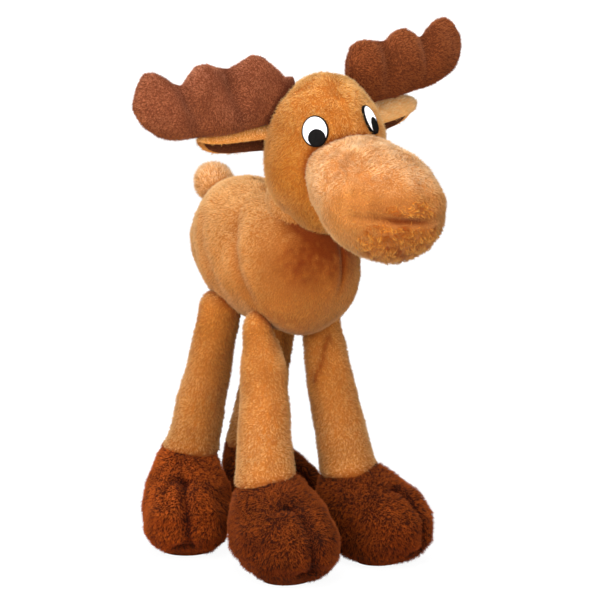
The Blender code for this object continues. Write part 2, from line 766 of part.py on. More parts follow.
def make_ears(head_empty, tree, head_pieces, materials):
    for name, side, rise in (("right", -1, RIGHT_EAR_LIFT), ("left", 1, LEFT_EAR_LIFT)):
        beside = Vector((side * FAR, EAR_ROOT_BACK, EAR_ROOT_RISE))
        root = tree.ray_cast(beside, Vector((-side, 0, 0)))[0]
        root.x -= side * EAR_ROOT_SEAT
        sweep = Matrix.Rotation(math.radians(side * EAR_SWEEP), 3, "Z")
        lift = Matrix.Rotation(math.radians(-side * rise), 3, "Y")
        pitch = Matrix.Rotation(math.radians(90 + EAR_PITCH), 3, "X")
        empty = make_empty(f"{name}_ear_root", root, head_empty, sweep @ lift @ pitch)
        outer = ear_slab(side, 1)
        lining = ear_slab(side, -1)
        seated = EAR_LENGTH * EAR_SEAT_SHARE
        near = [point for point in ring_points(outer) + ring_points(lining) if abs(point.x) < seated]
        make_object(f"{name}_ear_outer", outer, materials["orange"], empty)
        make_object(f"{name}_ear_lining", lining, materials["lining"], empty)
        seat = swept_hull(near, "Z", -side * EAR_SWING_DOWN, side * EAR_SWING_UP, SWING_GAP)
        seat = make_cutter(f"{name}_ear_seat", seat, empty)
        for piece in head_pieces:
            cut(piece, seat)


# Tail

def tail_form(inset, pulled_in=0.0):
    """The stub, its root in the torso. Pulled in, its hollow breaks through the root."""
    shares = (tail_radius_shares, tail_radius_shares, tail_rise_shares)
    form = stuffed_form(
        TAIL_LENGTH, TAIL_RADIUS, TAIL_RADIUS, shares, TAIL_FULLNESS, inset, (TAIL_SIDES, TAIL_RINGS)
    )
    reach = TAIL_LENGTH / 2 - TAIL_SEAT - pulled_in
    out = Matrix.Translation((0, reach, 0)) @ Matrix.Rotation(math.pi, 4, "Z")
    form.transform(Matrix.Rotation(math.radians(TAIL_LIFT), 4, "X") @ out)
    return form


def make_tail(root, torso_pieces, materials):
    tree = surface_tree(torso_form(0))
    height = TORSO_CENTRE_HEIGHT + TORSO_HALF_HEIGHT * TAIL_HEIGHT_SHARE
    base = tree.ray_cast(Vector((0, FAR, height)), Vector((0, -1, 0)))[0]
    empty = make_empty("tail_base", base, root)
    casing = make_object("tail_casing", tail_form(0), materials["light"], empty)
    cut(casing, make_cutter("tail_hollow", tail_form(FABRIC), empty))
    cut(casing, make_cutter("tail_mouth", tail_form(FABRIC, TAIL_RADIUS / 2), empty))
    make_object("tail_stuffing", tail_form(FABRIC + STUFFING_GAP), materials["fibre"], empty)
    seat = swept_hull(ring_points(tail_form(0)), "X", -TAIL_SWING, TAIL_SWING, SWING_GAP)
    seat = make_cutter("tail_seat", seat, empty)
    for piece in torso_pieces:
        cut(piece, seat)


def stand_on_origin(root):
    """Moves the toy so that the middle of its box is over the origin and its soles at zero."""
    bpy.context.view_layer.update()
    corners = []
    for piece in bpy.context.scene.objects:
        if piece.type == "MESH" and not piece.hide_render:
            corners += [piece.matrix_world @ vertex.co for vertex in piece.data.vertices]
    middle_x = (min(point.x for point in corners) + max(point.x for point in corners)) / 2
    middle_y = (min(point.y for point in corners) + max(point.y for point in corners)) / 2
    lowest = min(point.z for point in corners)
    root.location = (-middle_x, -middle_y, -lowest)
    bpy.context.view_layer.update()


def main():
    clear_scene()
    materials = make_materials()
    root = make_empty("toy", Vector((0, 0, 0)), None)
    torso_pieces = make_torso(root, materials)
    make_legs(root, torso_pieces, materials)
    make_tail(root, torso_pieces, materials)

    tilt = Matrix.Rotation(math.radians(NECK_TILT), 3, "X")
    neck_empty = make_empty("neck_turn", Vector((0, NECK_Y, NECK_HEIGHT)), root, tilt)
    neck_socket = make_neck(neck_empty, materials)
    yaw = Matrix.Rotation(math.radians(HEAD_YAW), 3, "Z")
    roll = Matrix.Rotation(math.radians(-HEAD_ROLL), 3, "Y")
    head_turn = tilt.inverted() @ yaw @ roll
    head_empty = make_empty("head_nod", Vector((0, 0, 0)), neck_empty, head_turn)
    skull, pad, filling = make_head(head_empty, materials)
    tree = surface_tree(head_form(0))
    make_eyes(head_empty, tree, materials)
    make_antlers(head_empty, tree, (skull, filling), materials)
    make_ears(head_empty, tree, (skull, filling), materials)
    for piece in (*torso_pieces, skull, pad, filling):
        cut(piece, neck_socket)
    neck_axis = head_turn.inverted() @ Vector((0, 0, 1))
    skull_pocket = make_head_pocket(head_form(0), "head_pocket", neck_axis, head_empty)
    muzzle_pocket = make_head_pocket(muzzle_form(0), "muzzle_pocket", neck_axis, head_empty)
    for piece in torso_pieces:
        cut(piece, skull_pocket)
        cut(piece, muzzle_pocket)
    stand_on_origin(root)


main()
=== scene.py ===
# Looks of the plush moose: soft sewn skins with creases, and a pile of strands on all but eyes and soles.
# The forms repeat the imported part's own sizes, in metres. The pose at rest is that of the part.

import json
import math

import bpy
import numpy as np
from mathutils import Matrix, Vector
from mathutils.bvhtree import BVHTree
from mathutils.kdtree import KDTree


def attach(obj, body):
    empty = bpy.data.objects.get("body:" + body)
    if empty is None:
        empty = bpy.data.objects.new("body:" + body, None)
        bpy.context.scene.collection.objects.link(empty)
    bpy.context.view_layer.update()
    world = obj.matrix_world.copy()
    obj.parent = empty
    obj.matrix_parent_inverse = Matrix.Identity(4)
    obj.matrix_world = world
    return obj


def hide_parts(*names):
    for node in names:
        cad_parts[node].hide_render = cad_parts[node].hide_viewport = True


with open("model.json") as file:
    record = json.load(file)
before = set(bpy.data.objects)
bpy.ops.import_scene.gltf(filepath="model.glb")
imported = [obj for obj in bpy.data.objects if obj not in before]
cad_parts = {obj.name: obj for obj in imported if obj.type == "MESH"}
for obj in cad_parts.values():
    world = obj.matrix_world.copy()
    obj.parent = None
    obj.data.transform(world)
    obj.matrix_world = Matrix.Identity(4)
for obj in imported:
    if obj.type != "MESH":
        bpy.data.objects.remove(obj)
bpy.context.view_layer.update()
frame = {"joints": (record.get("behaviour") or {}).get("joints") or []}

# Torso
TORSO_LENGTH = 0.138
TORSO_HALF_WIDTH = 0.041
TORSO_HALF_HEIGHT = 0.050
TORSO_CENTRE_Y = 0.010
TORSO_CENTRE_HEIGHT = 0.192
TORSO_FULLNESS = 2.6
torso_width_shares = (0.92, 0.98, 0.97, 1.0, 0.88)
torso_height_shares = (0.96, 0.91, 0.90, 0.96, 0.95)
torso_rise_shares = (0.20, 0.13, 0.01, -0.06, -0.03)

# Legs and hooves
HIP_RADIUS = 0.0145
ANKLE_RADIUS = 0.0185
ANKLE_HEIGHT = 0.060
leg_radius_shares = (0.0, 0.1, 0.4, 0.78, 1.0)
HOOF_HALF_LENGTH = 0.0395
HOOF_HALF_WIDTH = 0.029
HOOF_FORWARD = 0.0215
HOOF_SQUARENESS = 2.4
SOLE_TOP = 0.0012
SOLE_OVERLAP = 0.0006
SOLE_INSET = 0.0006
TOE_AHEAD_SHARE = 1.15
hoof_level_shares = (0.0, 0.1, 0.27, 0.5, 0.72, 0.9, 1.0)
hoof_reach_shares = (-0.15, 0.56, 0.97, 0.97, 0.72, 0.26, 0.0)
WIDEST_LEVEL_SHARE = hoof_level_shares[2]
# Name, side, ankle's distance from the middle, ankle's Y, the hoof's heading in degrees,
# how far the cuff rises over the ankle and how much it climbs towards the picture's right
leg_rows = (
    ("front_right", -1, 0.0335, -0.024, -5, -0.0015, 0.18),
    ("front_left", 1, 0.0335, -0.024, 12, -0.004, 0.16),
    ("rear_right", -1, 0.028, 0.066, -38, 0.004, -0.10),
    ("rear_left", 1, 0.024, 0.066, 10, 0.002, 0.0),
)

# Neck and head
NECK_Y = -0.024
NECK_HEIGHT = 0.226
NECK_RADIUS = 0.029
NECK_TILT = 40
HEAD_YAW = -9
HEAD_ROLL = 6
HEAD_CENTRE_FORWARD = 0.022
HEAD_CENTRE_RISE = 0.032
HEAD_HALF_HEIGHT = 0.050
HEAD_HALF_WIDTH = 0.0355
HEAD_HALF_DEPTH = 0.037
HEAD_FULLNESS = 2.3
head_width_shares = (0.84, 0.97, 1.03, 1.02, 0.98)
head_depth_shares = (0.86, 0.97, 1.0, 1.0, 0.95)
head_forward_shares = (0.02, 0.02, 0.0, -0.06, -0.12)
MUZZLE_LENGTH = 0.102
MUZZLE_HALF_WIDTH = 0.038
MUZZLE_HALF_HEIGHT = 0.0325
MUZZLE_CENTRE_FORWARD = 0.077
MUZZLE_CENTRE_RISE = 0.011
MUZZLE_SLOPE = 31
MUZZLE_FULLNESS = 2.3
muzzle_width_shares = (0.88, 0.92, 0.98, 1.0, 0.98)
muzzle_height_shares = (0.70, 0.75, 0.88, 0.99, 1.0)
muzzle_rise_shares = (0.05, 0.07, 0.07, 0.05, 0.02)

# Eyes
EYE_HALF_WIDTH = 0.0073
EYE_HALF_HEIGHT = 0.0086
EYE_BORDER = 0.0007
EYE_RISE = 0.0180
PUPIL_HALF_WIDTH = 0.0052
PUPIL_HALF_HEIGHT = 0.0053
PUPIL_DROP = 0.0040
# Name, side, turn away from the face's middle, width as a share, rise over the other, roll,
# and how far the pupil lies aside
eye_rows = (
    ("right", -1, 37, 1, 0, 0, 0.0010),
    ("left", 1, 23.5, 0.62, 0.0026, 13, 0),
)

# Antlers
ANTLER_LENGTH = 0.095
ANTLER_DEPTH = 0.042
ANTLER_HALF_THICKNESS = 0.0095
ANTLER_ROOT_RISE = 0.069
ANTLER_ROOT_BACK = -0.0145
ANTLER_ROOT_SEAT = 0.0025
ANTLER_CREASE_WIDTH = 0.0042
ANTLER_CREASE_SHARE = 0.55
ANTLER_CREASE_SLANT_SHARE = 0.10
LEFT_ANTLER_SHARE = 0.965
LEFT_ANTLER_SLANT = 0.006
LEFT_ANTLER_SLANT_END_SHARE = 0.30
antler_length_shares = (
    0.0, 0.07, 0.14, 0.21, 0.28, 0.36, 0.44, 0.51,
    0.58, 0.63, 0.68, 0.74, 0.80, 0.86, 0.92, 0.97, 1.0,
)
left_antler_top_shares = (
    0.08, 0.40, 0.54, 0.56, 0.54, 0.47, 0.41, 0.47,
    0.49, 0.40, 0.28, 0.29, 0.36, 0.41, 0.39, 0.28, 0.11,
)
right_antler_top_shares = (
    0.28, 0.46, 0.60, 0.63, 0.54, 0.45, 0.46, 0.53,
    0.52, 0.40, 0.26, 0.29, 0.38, 0.45, 0.45, 0.32, 0.12,
)
antler_base_shares = (
    0.36, 0.37, 0.38, 0.40, 0.42, 0.44, 0.46, 0.47,
    0.49, 0.50, 0.51, 0.51, 0.49, 0.44, 0.34, 0.22, 0.09,
)
antler_thickness_shares = (0.66, 0.85, 1.0, 0.95, 0.45)
antler_crease_shares = (0.39, 0.70)
# Name, side, lift and sweep in degrees, and the outline's upper edge
antler_rows = (
    ("right", -1, 3, 6, right_antler_top_shares),
    ("left", 1, 15, -1, left_antler_top_shares),
)

# Ears
EAR_LENGTH = 0.046
LINING_SHARE = 0.93
EAR_ROOT_RISE = 0.0480
EAR_ROOT_BACK = -0.004
EAR_ROOT_SEAT = 0.0015
EAR_SWEEP = 2
ear_length_shares = (0.0, 0.12, 0.32, 0.55, 0.75, 0.9, 1.0)
right_ear_width_shares = (1.15, 1.10, 1.05, 1.0, 0.84, 0.60, 0.30)
left_ear_width_shares = (0.84, 0.95, 1.05, 1.08, 0.98, 0.76, 0.42)
# Name, side, lift and roll in degrees, size as a share, rise of the root, widths and the outer leaf's plush
ear_rows = (
    ("right", -1, 0, 0, 1.04, 0.002, right_ear_width_shares, "ear"),
    ("left", 1, 9, 6, 1.15, -0.001, left_ear_width_shares, "painted_light_ear"),
)

# Tail
TAIL_LENGTH = 0.034
TAIL_RADIUS = 0.0132
TAIL_LIFT = 35
TAIL_SEAT = 0.012
TAIL_INSET = 0.0008
TAIL_FULLNESS = 2.5
tail_radius_shares = (0.75, 0.85, 0.95, 1.0, 0.95)
tail_rise_shares = (0.0, 0.0, 0.0, 0.0, 0.0)

# Depth of the skins under the part's own surface, which the tips of the pile reach
PLUSH_INSET = 0.0014
SHORT_INSET = 0.0007

# Farther out than any part of the toy, and too short to divide by
FAR = 1.0
TINY = 1e-12


def joint_place(name):
    found = [joint for joint in frame["joints"] if joint["name"] == name]
    return Vector(found[0]["pos_m"])


def turn_about(axis, degrees, size=4):
    return Matrix.Rotation(math.radians(degrees), size, axis)


# The part stands over the origin, so its own measures are moved by this much
SHIFT = joint_place("neck_turn") - Vector((0, NECK_Y, NECK_HEIGHT))
NECK_TURN = Matrix.Translation(joint_place("neck_turn"))
HEAD_FRAME = NECK_TURN @ turn_about("Z", HEAD_YAW) @ turn_about("Y", -HEAD_ROLL)
NECK_FRAME = NECK_TURN @ turn_about("X", NECK_TILT)
TORSO_PLACE = Matrix.Translation(SHIFT) @ Matrix.Translation((0, TORSO_CENTRE_Y, TORSO_CENTRE_HEIGHT))
HEAD_CENTRE = Vector((0, -HEAD_CENTRE_FORWARD, HEAD_CENTRE_RISE))
HEAD_PLACE = HEAD_FRAME @ Matrix.Translation(HEAD_CENTRE) @ turn_about("X", -90)
MUZZLE_CENTRE = Vector((0, -MUZZLE_CENTRE_FORWARD, MUZZLE_CENTRE_RISE))
MUZZLE_PLACE = HEAD_FRAME @ Matrix.Translation(MUZZLE_CENTRE) @ turn_about("X", MUZZLE_SLOPE)


# Number helpers

EVEN_STEPS = 4


def smooth_share(keys, places):
    """Values at places from 0 to 1 on a smooth curve through evenly spaced keys."""
    keys = np.asarray(keys, float)
    span = np.clip(np.asarray(places, float), 0, 1) * (len(keys) - 1)
    start = np.minimum(span.astype(int), len(keys) - 2)
    part = span - start
    before = keys[np.maximum(start - 1, 0)]
    near = keys[start]
    far = keys[start + 1]
    after = keys[np.minimum(start + 2, len(keys) - 1)]
    slope_near = (far - before) / 2
    slope_far = (after - near) / 2
    square = part * part
    cube = square * part
    return (
        (2 * cube - 3 * square + 1) * near
        + (cube - 2 * square + part) * slope_near
        + (3 * square - 2 * cube) * far
        + (cube - square) * slope_far
    )


def uneven_share(places, keys, at):
    """The same at one place, for keys at their own places: those are first made even."""
    even = np.linspace(0, 1, EVEN_STEPS * len(places))
    return float(smooth_share(np.interp(even, places, keys), at))


def closing_share(share, start, length):
    """Rounds a tip off: 1 up to the start, then down to 0 over the length like a quarter circle."""
    return math.sqrt(max(0.0, 1 - max(0.0, (share - start) / length) ** 2))


def near_share(distance, reach):
    """1 at no distance, falling off smoothly to nearly 0 at twice the reach."""
    return np.exp(-((distance / reach) ** 2))


def ramp_share(values, start, length):
    """0 up to the start, then evenly up to 1 over the length."""
    return np.clip((values - start) / length, 0, 1)


def ring_angles(sides):
    return 2 * np.pi * np.arange(sides) / sides


def distances(points, place):
    return np.linalg.norm(points - np.array(place), axis=1)


def moved(points, matrix):
    return points @ np.array(matrix.to_3x3()).T + np.array(matrix.translation)


def turned(vectors, matrix):
    return vectors @ np.array(matrix.to_3x3()).T


def unit(vectors):
    return vectors / np.maximum(np.linalg.norm(vectors, axis=-1, keepdims=True), TINY)


WAVE_COUNT = 14
WAVE_PEAK = 1.6
wave_length_shares = (0.7, 1.6)


def wave_noise(points, scale, seed):
    """Smooth seeded noise between about -1 and 1, a sum of crossing waves of about that scale."""
    rng = np.random.default_rng(seed)
    total = np.zeros(len(points))
    for wave in range(WAVE_COUNT):
        direction = unit(rng.normal(size=3))
        length = scale * rng.uniform(*wave_length_shares)
        total += np.sin(2 * np.pi * (points @ direction) / length + rng.uniform(0, 2 * np.pi))
    return total / math.sqrt(WAVE_COUNT / 2) / WAVE_PEAK


def swirl_noise(points, scale, seed):
    """Such a noise for each of the three directions."""
    return np.stack([wave_noise(points, scale, seed + k) for k in (1, 2, 3)], axis=1)


def path_distance(points, path):
    """Distance of each point from a line through the path's points."""
    path = np.asarray(path, float)
    nearest = np.full(len(points), FAR)
    for start, end in zip(path, path[1:]):
        run = end - start
        share = np.clip((points - start) @ run / max(run @ run, TINY), 0, 1)
        gap = points - start - share[:, None] * run
        nearest = np.minimum(nearest, np.linalg.norm(gap, axis=1))
    return nearest


# Meshes

def grid_mesh(name, rings, start=None, end=None, wrap=False):
    """Skin through rings of equal count. Ends are closed by a fan to a point, or left open."""
    rings = np.asarray(rings, float)
    ring_count, sides = rings.shape[:2]
    points = list(map(tuple, rings.reshape(-1, 3)))
    faces = []
    for ring in range(ring_count if wrap else ring_count - 1):
        low = ring * sides
        high = (ring + 1) % ring_count * sides
        for side in range(sides):
            after = (side + 1) % sides
            faces.append((low + side, low + after, high + after, high + side))
    if start is not None:
        points.append(tuple(start))
        pole = len(points) - 1
        faces += [((side + 1) % sides, side, pole) for side in range(sides)]
    if end is not None:
        points.append(tuple(end))
        pole = len(points) - 1
        low = (ring_count - 1) * sides
        faces += [(low + side, low + (side + 1) % sides, pole) for side in range(sides)]
    mesh = bpy.data.meshes.new(name)
    mesh.from_pydata(points, [], faces)
    mesh.validate()
    return mesh


def capped_mesh(name, rings, place):
    """The same with each end closed at its ring's middle, and moved to its place."""
    mesh = grid_mesh(name, rings, rings[0].mean(0), rings[-1].mean(0))
    mesh.transform(place)
    return mesh


def add_object(name, data):
    item = bpy.data.objects.new(name, data)
    bpy.context.scene.collection.objects.link(item)
    return item


def mesh_points(mesh):
    points = np.empty(len(mesh.vertices) * 3)
    mesh.vertices.foreach_get("co", points)
    return points.reshape(-1, 3)


def mesh_normals(mesh):
    normals = np.empty(len(mesh.vertices) * 3)
    mesh.vertex_normals.foreach_get("vector", normals)
    return normals.reshape(-1, 3)


def mesh_triangles(mesh):
    mesh.calc_loop_triangles()
    corners = np.empty(len(mesh.loop_triangles) * 3, int)
    mesh.loop_triangles.foreach_get("vertices", corners)
    return corners.reshape(-1, 3)


def put_points(mesh, points):
    mesh.vertices.foreach_set("co", np.asarray(points, float).ravel())
    mesh.update()


def volume_sign(mesh):
    a, b, c = (mesh_points(mesh)[corner] for corner in mesh_triangles(mesh).T)
    return np.sum(a * np.cross(b, c))


def make_skin(name, mesh, material, body, nodes):
    """A closed soft piece that rides on a body and stands for solids of the part."""
    if volume_sign(mesh) < 0:
        mesh.flip_normals()
    mesh.materials.append(materials[material])
    mesh.shade_smooth()
    skin = add_object(name, mesh)
    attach(skin, body)
    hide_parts(*nodes)
    return skin


def press(mesh, depths):
    """Moves each point in along its normal."""
    normals = mesh_normals(mesh)
    put_points(mesh, mesh_points(mesh) - normals * np.asarray(depths)[:, None])


# The filling's lumps: how high, how broad, and their seed
lumps = {
    "torso": (0.0006, 0.034, 11), "head": (0.0005, 0.026, 12), "muzzle": (0.0005, 0.026, 13),
    "leg": (0.0005, 0.024, 30), "hoof": (0.0009, 0.022, 50), "antler": (0.0007, 0.024, 80),
}


def lump(mesh, kind, number=0):
    """Raises the lumps of its kind on a mesh. Each piece of a kind has its own number."""
    amount, scale, seed = lumps[kind]
    press(mesh, -amount * wave_noise(mesh_points(mesh), scale, seed + number))


def tree_of(mesh):
    points = [Vector(point) for point in mesh_points(mesh)]
    return BVHTree.FromPolygons(points, [tuple(face.vertices) for face in mesh.polygons])


def signed_gaps(tree, points):
    """Distance of each point from a closed shape, below zero inside it."""
    gaps = np.empty(len(points))
    for index, point in enumerate(points):
        near, normal, _, distance = tree.find_nearest(Vector(point))
        gaps[index] = -distance if (Vector(point) - near).dot(normal) < 0 else distance
    return gaps


def inside(tree, points, depth):
    return signed_gaps(tree, points) < -depth


def seam_fade(tree, points, reach):
    """1 where a point lies on a shape's surface or in it, down to 0 at that reach outside it."""
    return np.clip(1 - signed_gaps(tree, points) / reach, 0, 1)


def store(mesh, title, values):
    """Keeps a value from 0 to 1 for each point, for the pile and the materials."""
    attribute = mesh.attributes.get(title) or mesh.attributes.new(title, "FLOAT", "POINT")
    attribute.data.foreach_set("value", np.clip(values, 0, 1).astype(np.float32).ravel())


def stored(mesh, title):
    attribute = mesh.attributes.get(title)
    values = np.zeros(len(mesh.vertices), np.float32)
    if attribute is not None:
        attribute.data.foreach_get("value", values)
    return values


def add_painted_shade(mesh, values):
    """Adds to the painted shade at each point, as where it lies deeper in a crease."""
    store(mesh, "crease_and_painted_shade", stored(mesh, "crease_and_painted_shade") + values)


LAID_STEPS = 8


def laid_on(mesh, path):
    """The path in fine steps, each laid on the nearest point of a mesh."""
    path = np.asarray(path, float)
    fine = np.linspace(0, len(path) - 1, LAID_STEPS * len(path))
    steps = np.stack([np.interp(fine, np.arange(len(path)), path[:, axis]) for axis in range(3)], axis=1)
    tree = tree_of(mesh)
    return np.array([tuple(tree.find_nearest(Vector(step))[0]) for step in steps])


def crease_and_painted_shade(mesh, path, depth, width, shade, fade=1):
    """Presses a sewn line into a mesh, and paints shade along it."""
    near = fade * near_share(path_distance(mesh_points(mesh), laid_on(mesh, path)), width)
    press(mesh, depth * near)
    add_painted_shade(mesh, shade * near)


# The pile

# Strands per square metre, length, width, lean in degrees, spread of the directions,
# how much a clump's tips draw together, and strands in a clump
piles = {
    "torso": (2.6e6, 0.0024, 0.00036, 57, 0.24, 0.08, 10),
    "head": (2.3e6, 0.0029, 0.00036, 54, 0.34, 0.18, 10),
    "muzzle": (2.3e6, 0.0027, 0.00036, 55, 0.28, 0.10, 10),
    "chin": (2.0e6, 0.0034, 0.00042, 42, 0.80, 0.58, 16),
    "leg": (2.6e6, 0.0025, 0.00036, 48, 0.40, 0.38, 9),
    "front_right_hoof": (2.1e6, 0.0031, 0.00036, 48, 0.55, 0.34, 7),
    "front_left_hoof": (2.1e6, 0.0031, 0.00036, 46, 0.58, 0.36, 7),
    "rear_right_hoof": (2.2e6, 0.0031, 0.00040, 58, 0.45, 0.28, 7),
    "rear_left_hoof": (2.1e6, 0.0031, 0.00036, 46, 0.58, 0.36, 7),
    "antler": (3.1e6, 0.0018, 0.00029, 52, 0.34, 0.20, 6),
    "ear": (2.4e6, 0.0023, 0.00034, 54, 0.45, 0.30, 8),
    "lining": (2.4e6, 0.0011, 0.00030, 48, 0.50, 0.25, 8),
    "tail": (2.4e6, 0.0034, 0.00034, 50, 0.50, 0.22, 10),
}
pile_seeds = {
    "torso": 21, "head": 22, "muzzle": 23, "chin": 27, "leg": 40, "hoof": 60,
    "neck": 71, "antler": 90, "ear": 101, "lining": 103, "tail": 121,
}
# Steps from a pile's seed to those of its own noises
LEAN_SEED_STEP = 4
TONE_SEED_STEP = 5
LOT_SEED_STEP = 9
STRAND_SIDES = 3
STRAND_POINTS = STRAND_SIDES + 1
strand_length_shares = (0.7, 1.15)
CREASE_SHORTER_SHARE = 0.55
SWIRL_SCALE = 0.016
SWIRL_SHARE = 0.55
LEAN_PATCH_SCALE = 0.009
LEAN_PATCH_SHARE = 0.25
LEAN_OWN_SHARE = 0.22
MOST_LEAN = 1.35
TWIST_SHARE = 0.3
SHADING_RUN_SHARE = 0.35
LOT_TONE_SHARE = 0.6
# Painted light: the pile's tone starts plain and falls as the pile faces up, so tops are paler
PLAIN_TONE = 0.45
PAINTED_TOP_LIGHT_SHARE = 0.8
TONE_PATCH_SCALE = 0.030
TONE_PATCH_SHARE = 0.14
# A strand's three feet and its tip in its own cell of the map
cell_shares = ((0.15, 0.15), (0.5, 0.3), (0.85, 0.15), (0.5, 0.85))


def scattered(mesh, rate, rng):
    """Random roots all over a mesh, the ways out there, and the painted shade and warmth there."""
    points = mesh_points(mesh)
    triangles = mesh_triangles(mesh)
    a, b, c = (points[corner] for corner in triangles.T)
    areas = np.linalg.norm(np.cross(b - a, c - a), axis=1) / 2
    count = int(areas.sum() * rate)
    picked = np.searchsorted(np.cumsum(areas), rng.uniform(0, areas.sum(), count))
    chosen = triangles[np.minimum(picked, len(areas) - 1)]
    first = np.sqrt(rng.uniform(size=count))
    second = rng.uniform(size=count)
    weights = np.stack([1 - first, first * (1 - second), first * second], axis=1)[:, :, None]
    roots = (points[chosen] * weights).sum(1)
    ups = unit((mesh_normals(mesh)[chosen] * weights).sum(1))
    deep, warm = ((stored(mesh, title)[chosen] * weights[:, :, 0]).sum(1) for title in ("crease_and_painted_shade", "warmth_and_painted_shade"))
    return roots, ups, deep, warm


def strand_tips(roots, ups, deep, flow, look, seed, rng):
    """Where the strands end: along the comb's flow, with swirls, and shorter in the creases."""
    length, _, lean, spread = look[1:5]
    along = flow + SWIRL_SHARE * swirl_noise(roots, SWIRL_SCALE, seed) + spread * rng.normal(size=roots.shape)
    along = unit(along - ups * (along * ups).sum(1, keepdims=True))
    patches = LEAN_PATCH_SHARE * wave_noise(roots, LEAN_PATCH_SCALE, seed + LEAN_SEED_STEP)
    leans = np.radians(lean * (1 + patches + LEAN_OWN_SHARE * rng.normal(size=len(roots))))
    leans = np.clip(leans, 0.0, MOST_LEAN)
    ways = ups * np.cos(leans)[:, None] + along * np.sin(leans)[:, None]
    lengths = length * rng.uniform(*strand_length_shares, len(roots)) * (1 - CREASE_SHORTER_SHARE * deep)
    return roots + ways * lengths[:, None]


def clumped(tips, look, seed, rng):
    """Draws each tip towards the nearest of a few of them. Also gives each its clump's own value."""
    clumping, clump_size = look[5:]
    lots = rng.choice(len(tips), max(len(tips) // clump_size, 1), replace=False)
    tree = KDTree(len(lots))
    for index, lot in enumerate(lots):
        tree.insert(tips[lot], index)
    tree.balance()
    found = [tree.find(tip) for tip in tips]
    centres = np.array([place for place, _, _ in found])
    values = np.random.default_rng(seed + LOT_SEED_STEP).uniform(size=len(lots))
    return tips + (centres - tips) * clumping, values[[index for _, index, _ in found]]


def spikes(name, roots, ups, tips, width, rng):
    """A mesh with one closed spike for each strand, each in its own cell of the map."""
    count = len(roots)
    runs = unit(tips - roots)
    across = unit(np.cross(runs, ups + TWIST_SHARE * rng.normal(size=(count, 3))))
    other = np.cross(runs, across)
    points = np.empty((count, STRAND_POINTS, 3))
    base = roots - ups * width
    for side, angle in enumerate(ring_angles(STRAND_SIDES)):
        points[:, side] = base + (across * math.cos(angle) + other * math.sin(angle)) * width / 2
    points[:, STRAND_SIDES] = tips
    corners = [(side, (side + 1) % STRAND_SIDES, STRAND_SIDES) for side in range(STRAND_SIDES)]
    corners.append((2, 1, 0))
    firsts = np.arange(count)[:, None, None] * STRAND_POINTS
    faces = (firsts + np.array(corners)[None]).reshape(-1, 3)

    mesh = bpy.data.meshes.new(name)
    mesh.vertices.add(count * STRAND_POINTS)
    mesh.vertices.foreach_set("co", points.ravel())
    mesh.loops.add(faces.size)
    mesh.loops.foreach_set("vertex_index", faces.ravel().astype(np.int32))
    mesh.polygons.add(len(faces))
    mesh.polygons.foreach_set("loop_start", np.arange(0, faces.size, 3, dtype=np.int32))
    mesh.update(calc_edges=True)

    per_row = math.ceil(math.sqrt(count))
    cells = np.stack([np.arange(count) % per_row, np.arange(count) // per_row], axis=1)[:, None, :]
    point_uv = ((cells + np.array(cell_shares)[None]) / per_row).reshape(-1, 2)
    layer = mesh.uv_layers.new(name="OFBake")
    layer.uv.foreach_set("vector", point_uv[faces.ravel()].astype(np.float32).ravel())
    return mesh, runs


def make_pile(name, skin, material, body, look, comb, seed, bare=None, floor=None, rough=0):
    """Closed thin spikes that stand on a skin, but where it is bare or under the floor's height.
    look is a row of the piles. rough is how much one clump differs from the next in depth of colour."""
    rng = np.random.default_rng(seed)
    strands = scattered(skin.data, look[0], rng)
    if bare is not None:
        keep = ~bare(strands[0], strands[1])
        strands = [part[keep] for part in strands]
    roots, ups, deep, warm = strands
    tips, lots = clumped(strand_tips(roots, ups, deep, comb(roots), look, seed, rng), look, seed, rng)
    if floor is not None:
        tips[:, 2] = np.maximum(tips[:, 2], floor)
        keep = roots[:, 2] > floor
        roots, ups, tips, deep, warm, lots = (part[keep] for part in (roots, ups, tips, deep, warm, lots))
    mesh, runs = spikes(name, roots, ups, tips, look[2], rng)

    # Painted light: the pile is paler where it faces up and deeper in colour where it faces down, with random
    # patches; the skin's painted shade and warmth come along, and rough makes each clump's depth of colour
    # differ at random
    painted_top_light_and_patches = ups[:, 2] + TONE_PATCH_SHARE * wave_noise(roots, TONE_PATCH_SCALE, seed + TONE_SEED_STEP)
    values = {
        "crease_and_painted_shade": deep + rough * (lots - 1 / 2),
        "lot": LOT_TONE_SHARE * lots + (1 - LOT_TONE_SHARE) * rng.uniform(size=len(roots)),
        "tone_and_painted_light": PLAIN_TONE - PAINTED_TOP_LIGHT_SHARE * painted_top_light_and_patches + warm,
    }
    for title, strand_values in values.items():
        store(mesh, title, np.repeat(strand_values, STRAND_POINTS))
    store(mesh, "tip", np.tile([0] * STRAND_SIDES + [1], len(roots)))

    shading = unit(np.repeat(ups + runs * SHADING_RUN_SHARE, STRAND_POINTS, axis=0))
    mesh.materials.append(materials[material])
    mesh.shade_smooth()
    mesh.normals_split_custom_set_from_vertices([tuple(normal) for normal in shading])
    pile = add_object(name, mesh)
    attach(pile, body)


# Materials

# Tint of the deeper tone: the painted shade of the pile that faces down, and its warmth
TONE_AND_PAINTED_LIGHT_TINT = (0.85, 0.62, 0.30)
PLUSH_ROUGHNESS = 0.95
PLUSH_SPECULAR = 0.08
SHEEN_ROUGHNESS = 0.5
STRAND_MIDDLE_SHARE = 0.45
LOT_SPAN = 0.38
LOT_LOWEST = 0.68
PATCH_SCALE = 45
PATCH_SPAN = 0.34
PATCH_CUT = 0.06
THREAD_ROUGHNESS = 0.6
THREAD_SPECULAR = 0.04
THREAD_SCALE = 900
THREAD_STRETCH_SHARE = 0.2
THREAD_RIDGE = 0.0003
THREAD_RIDGE_SHARE = 0.5


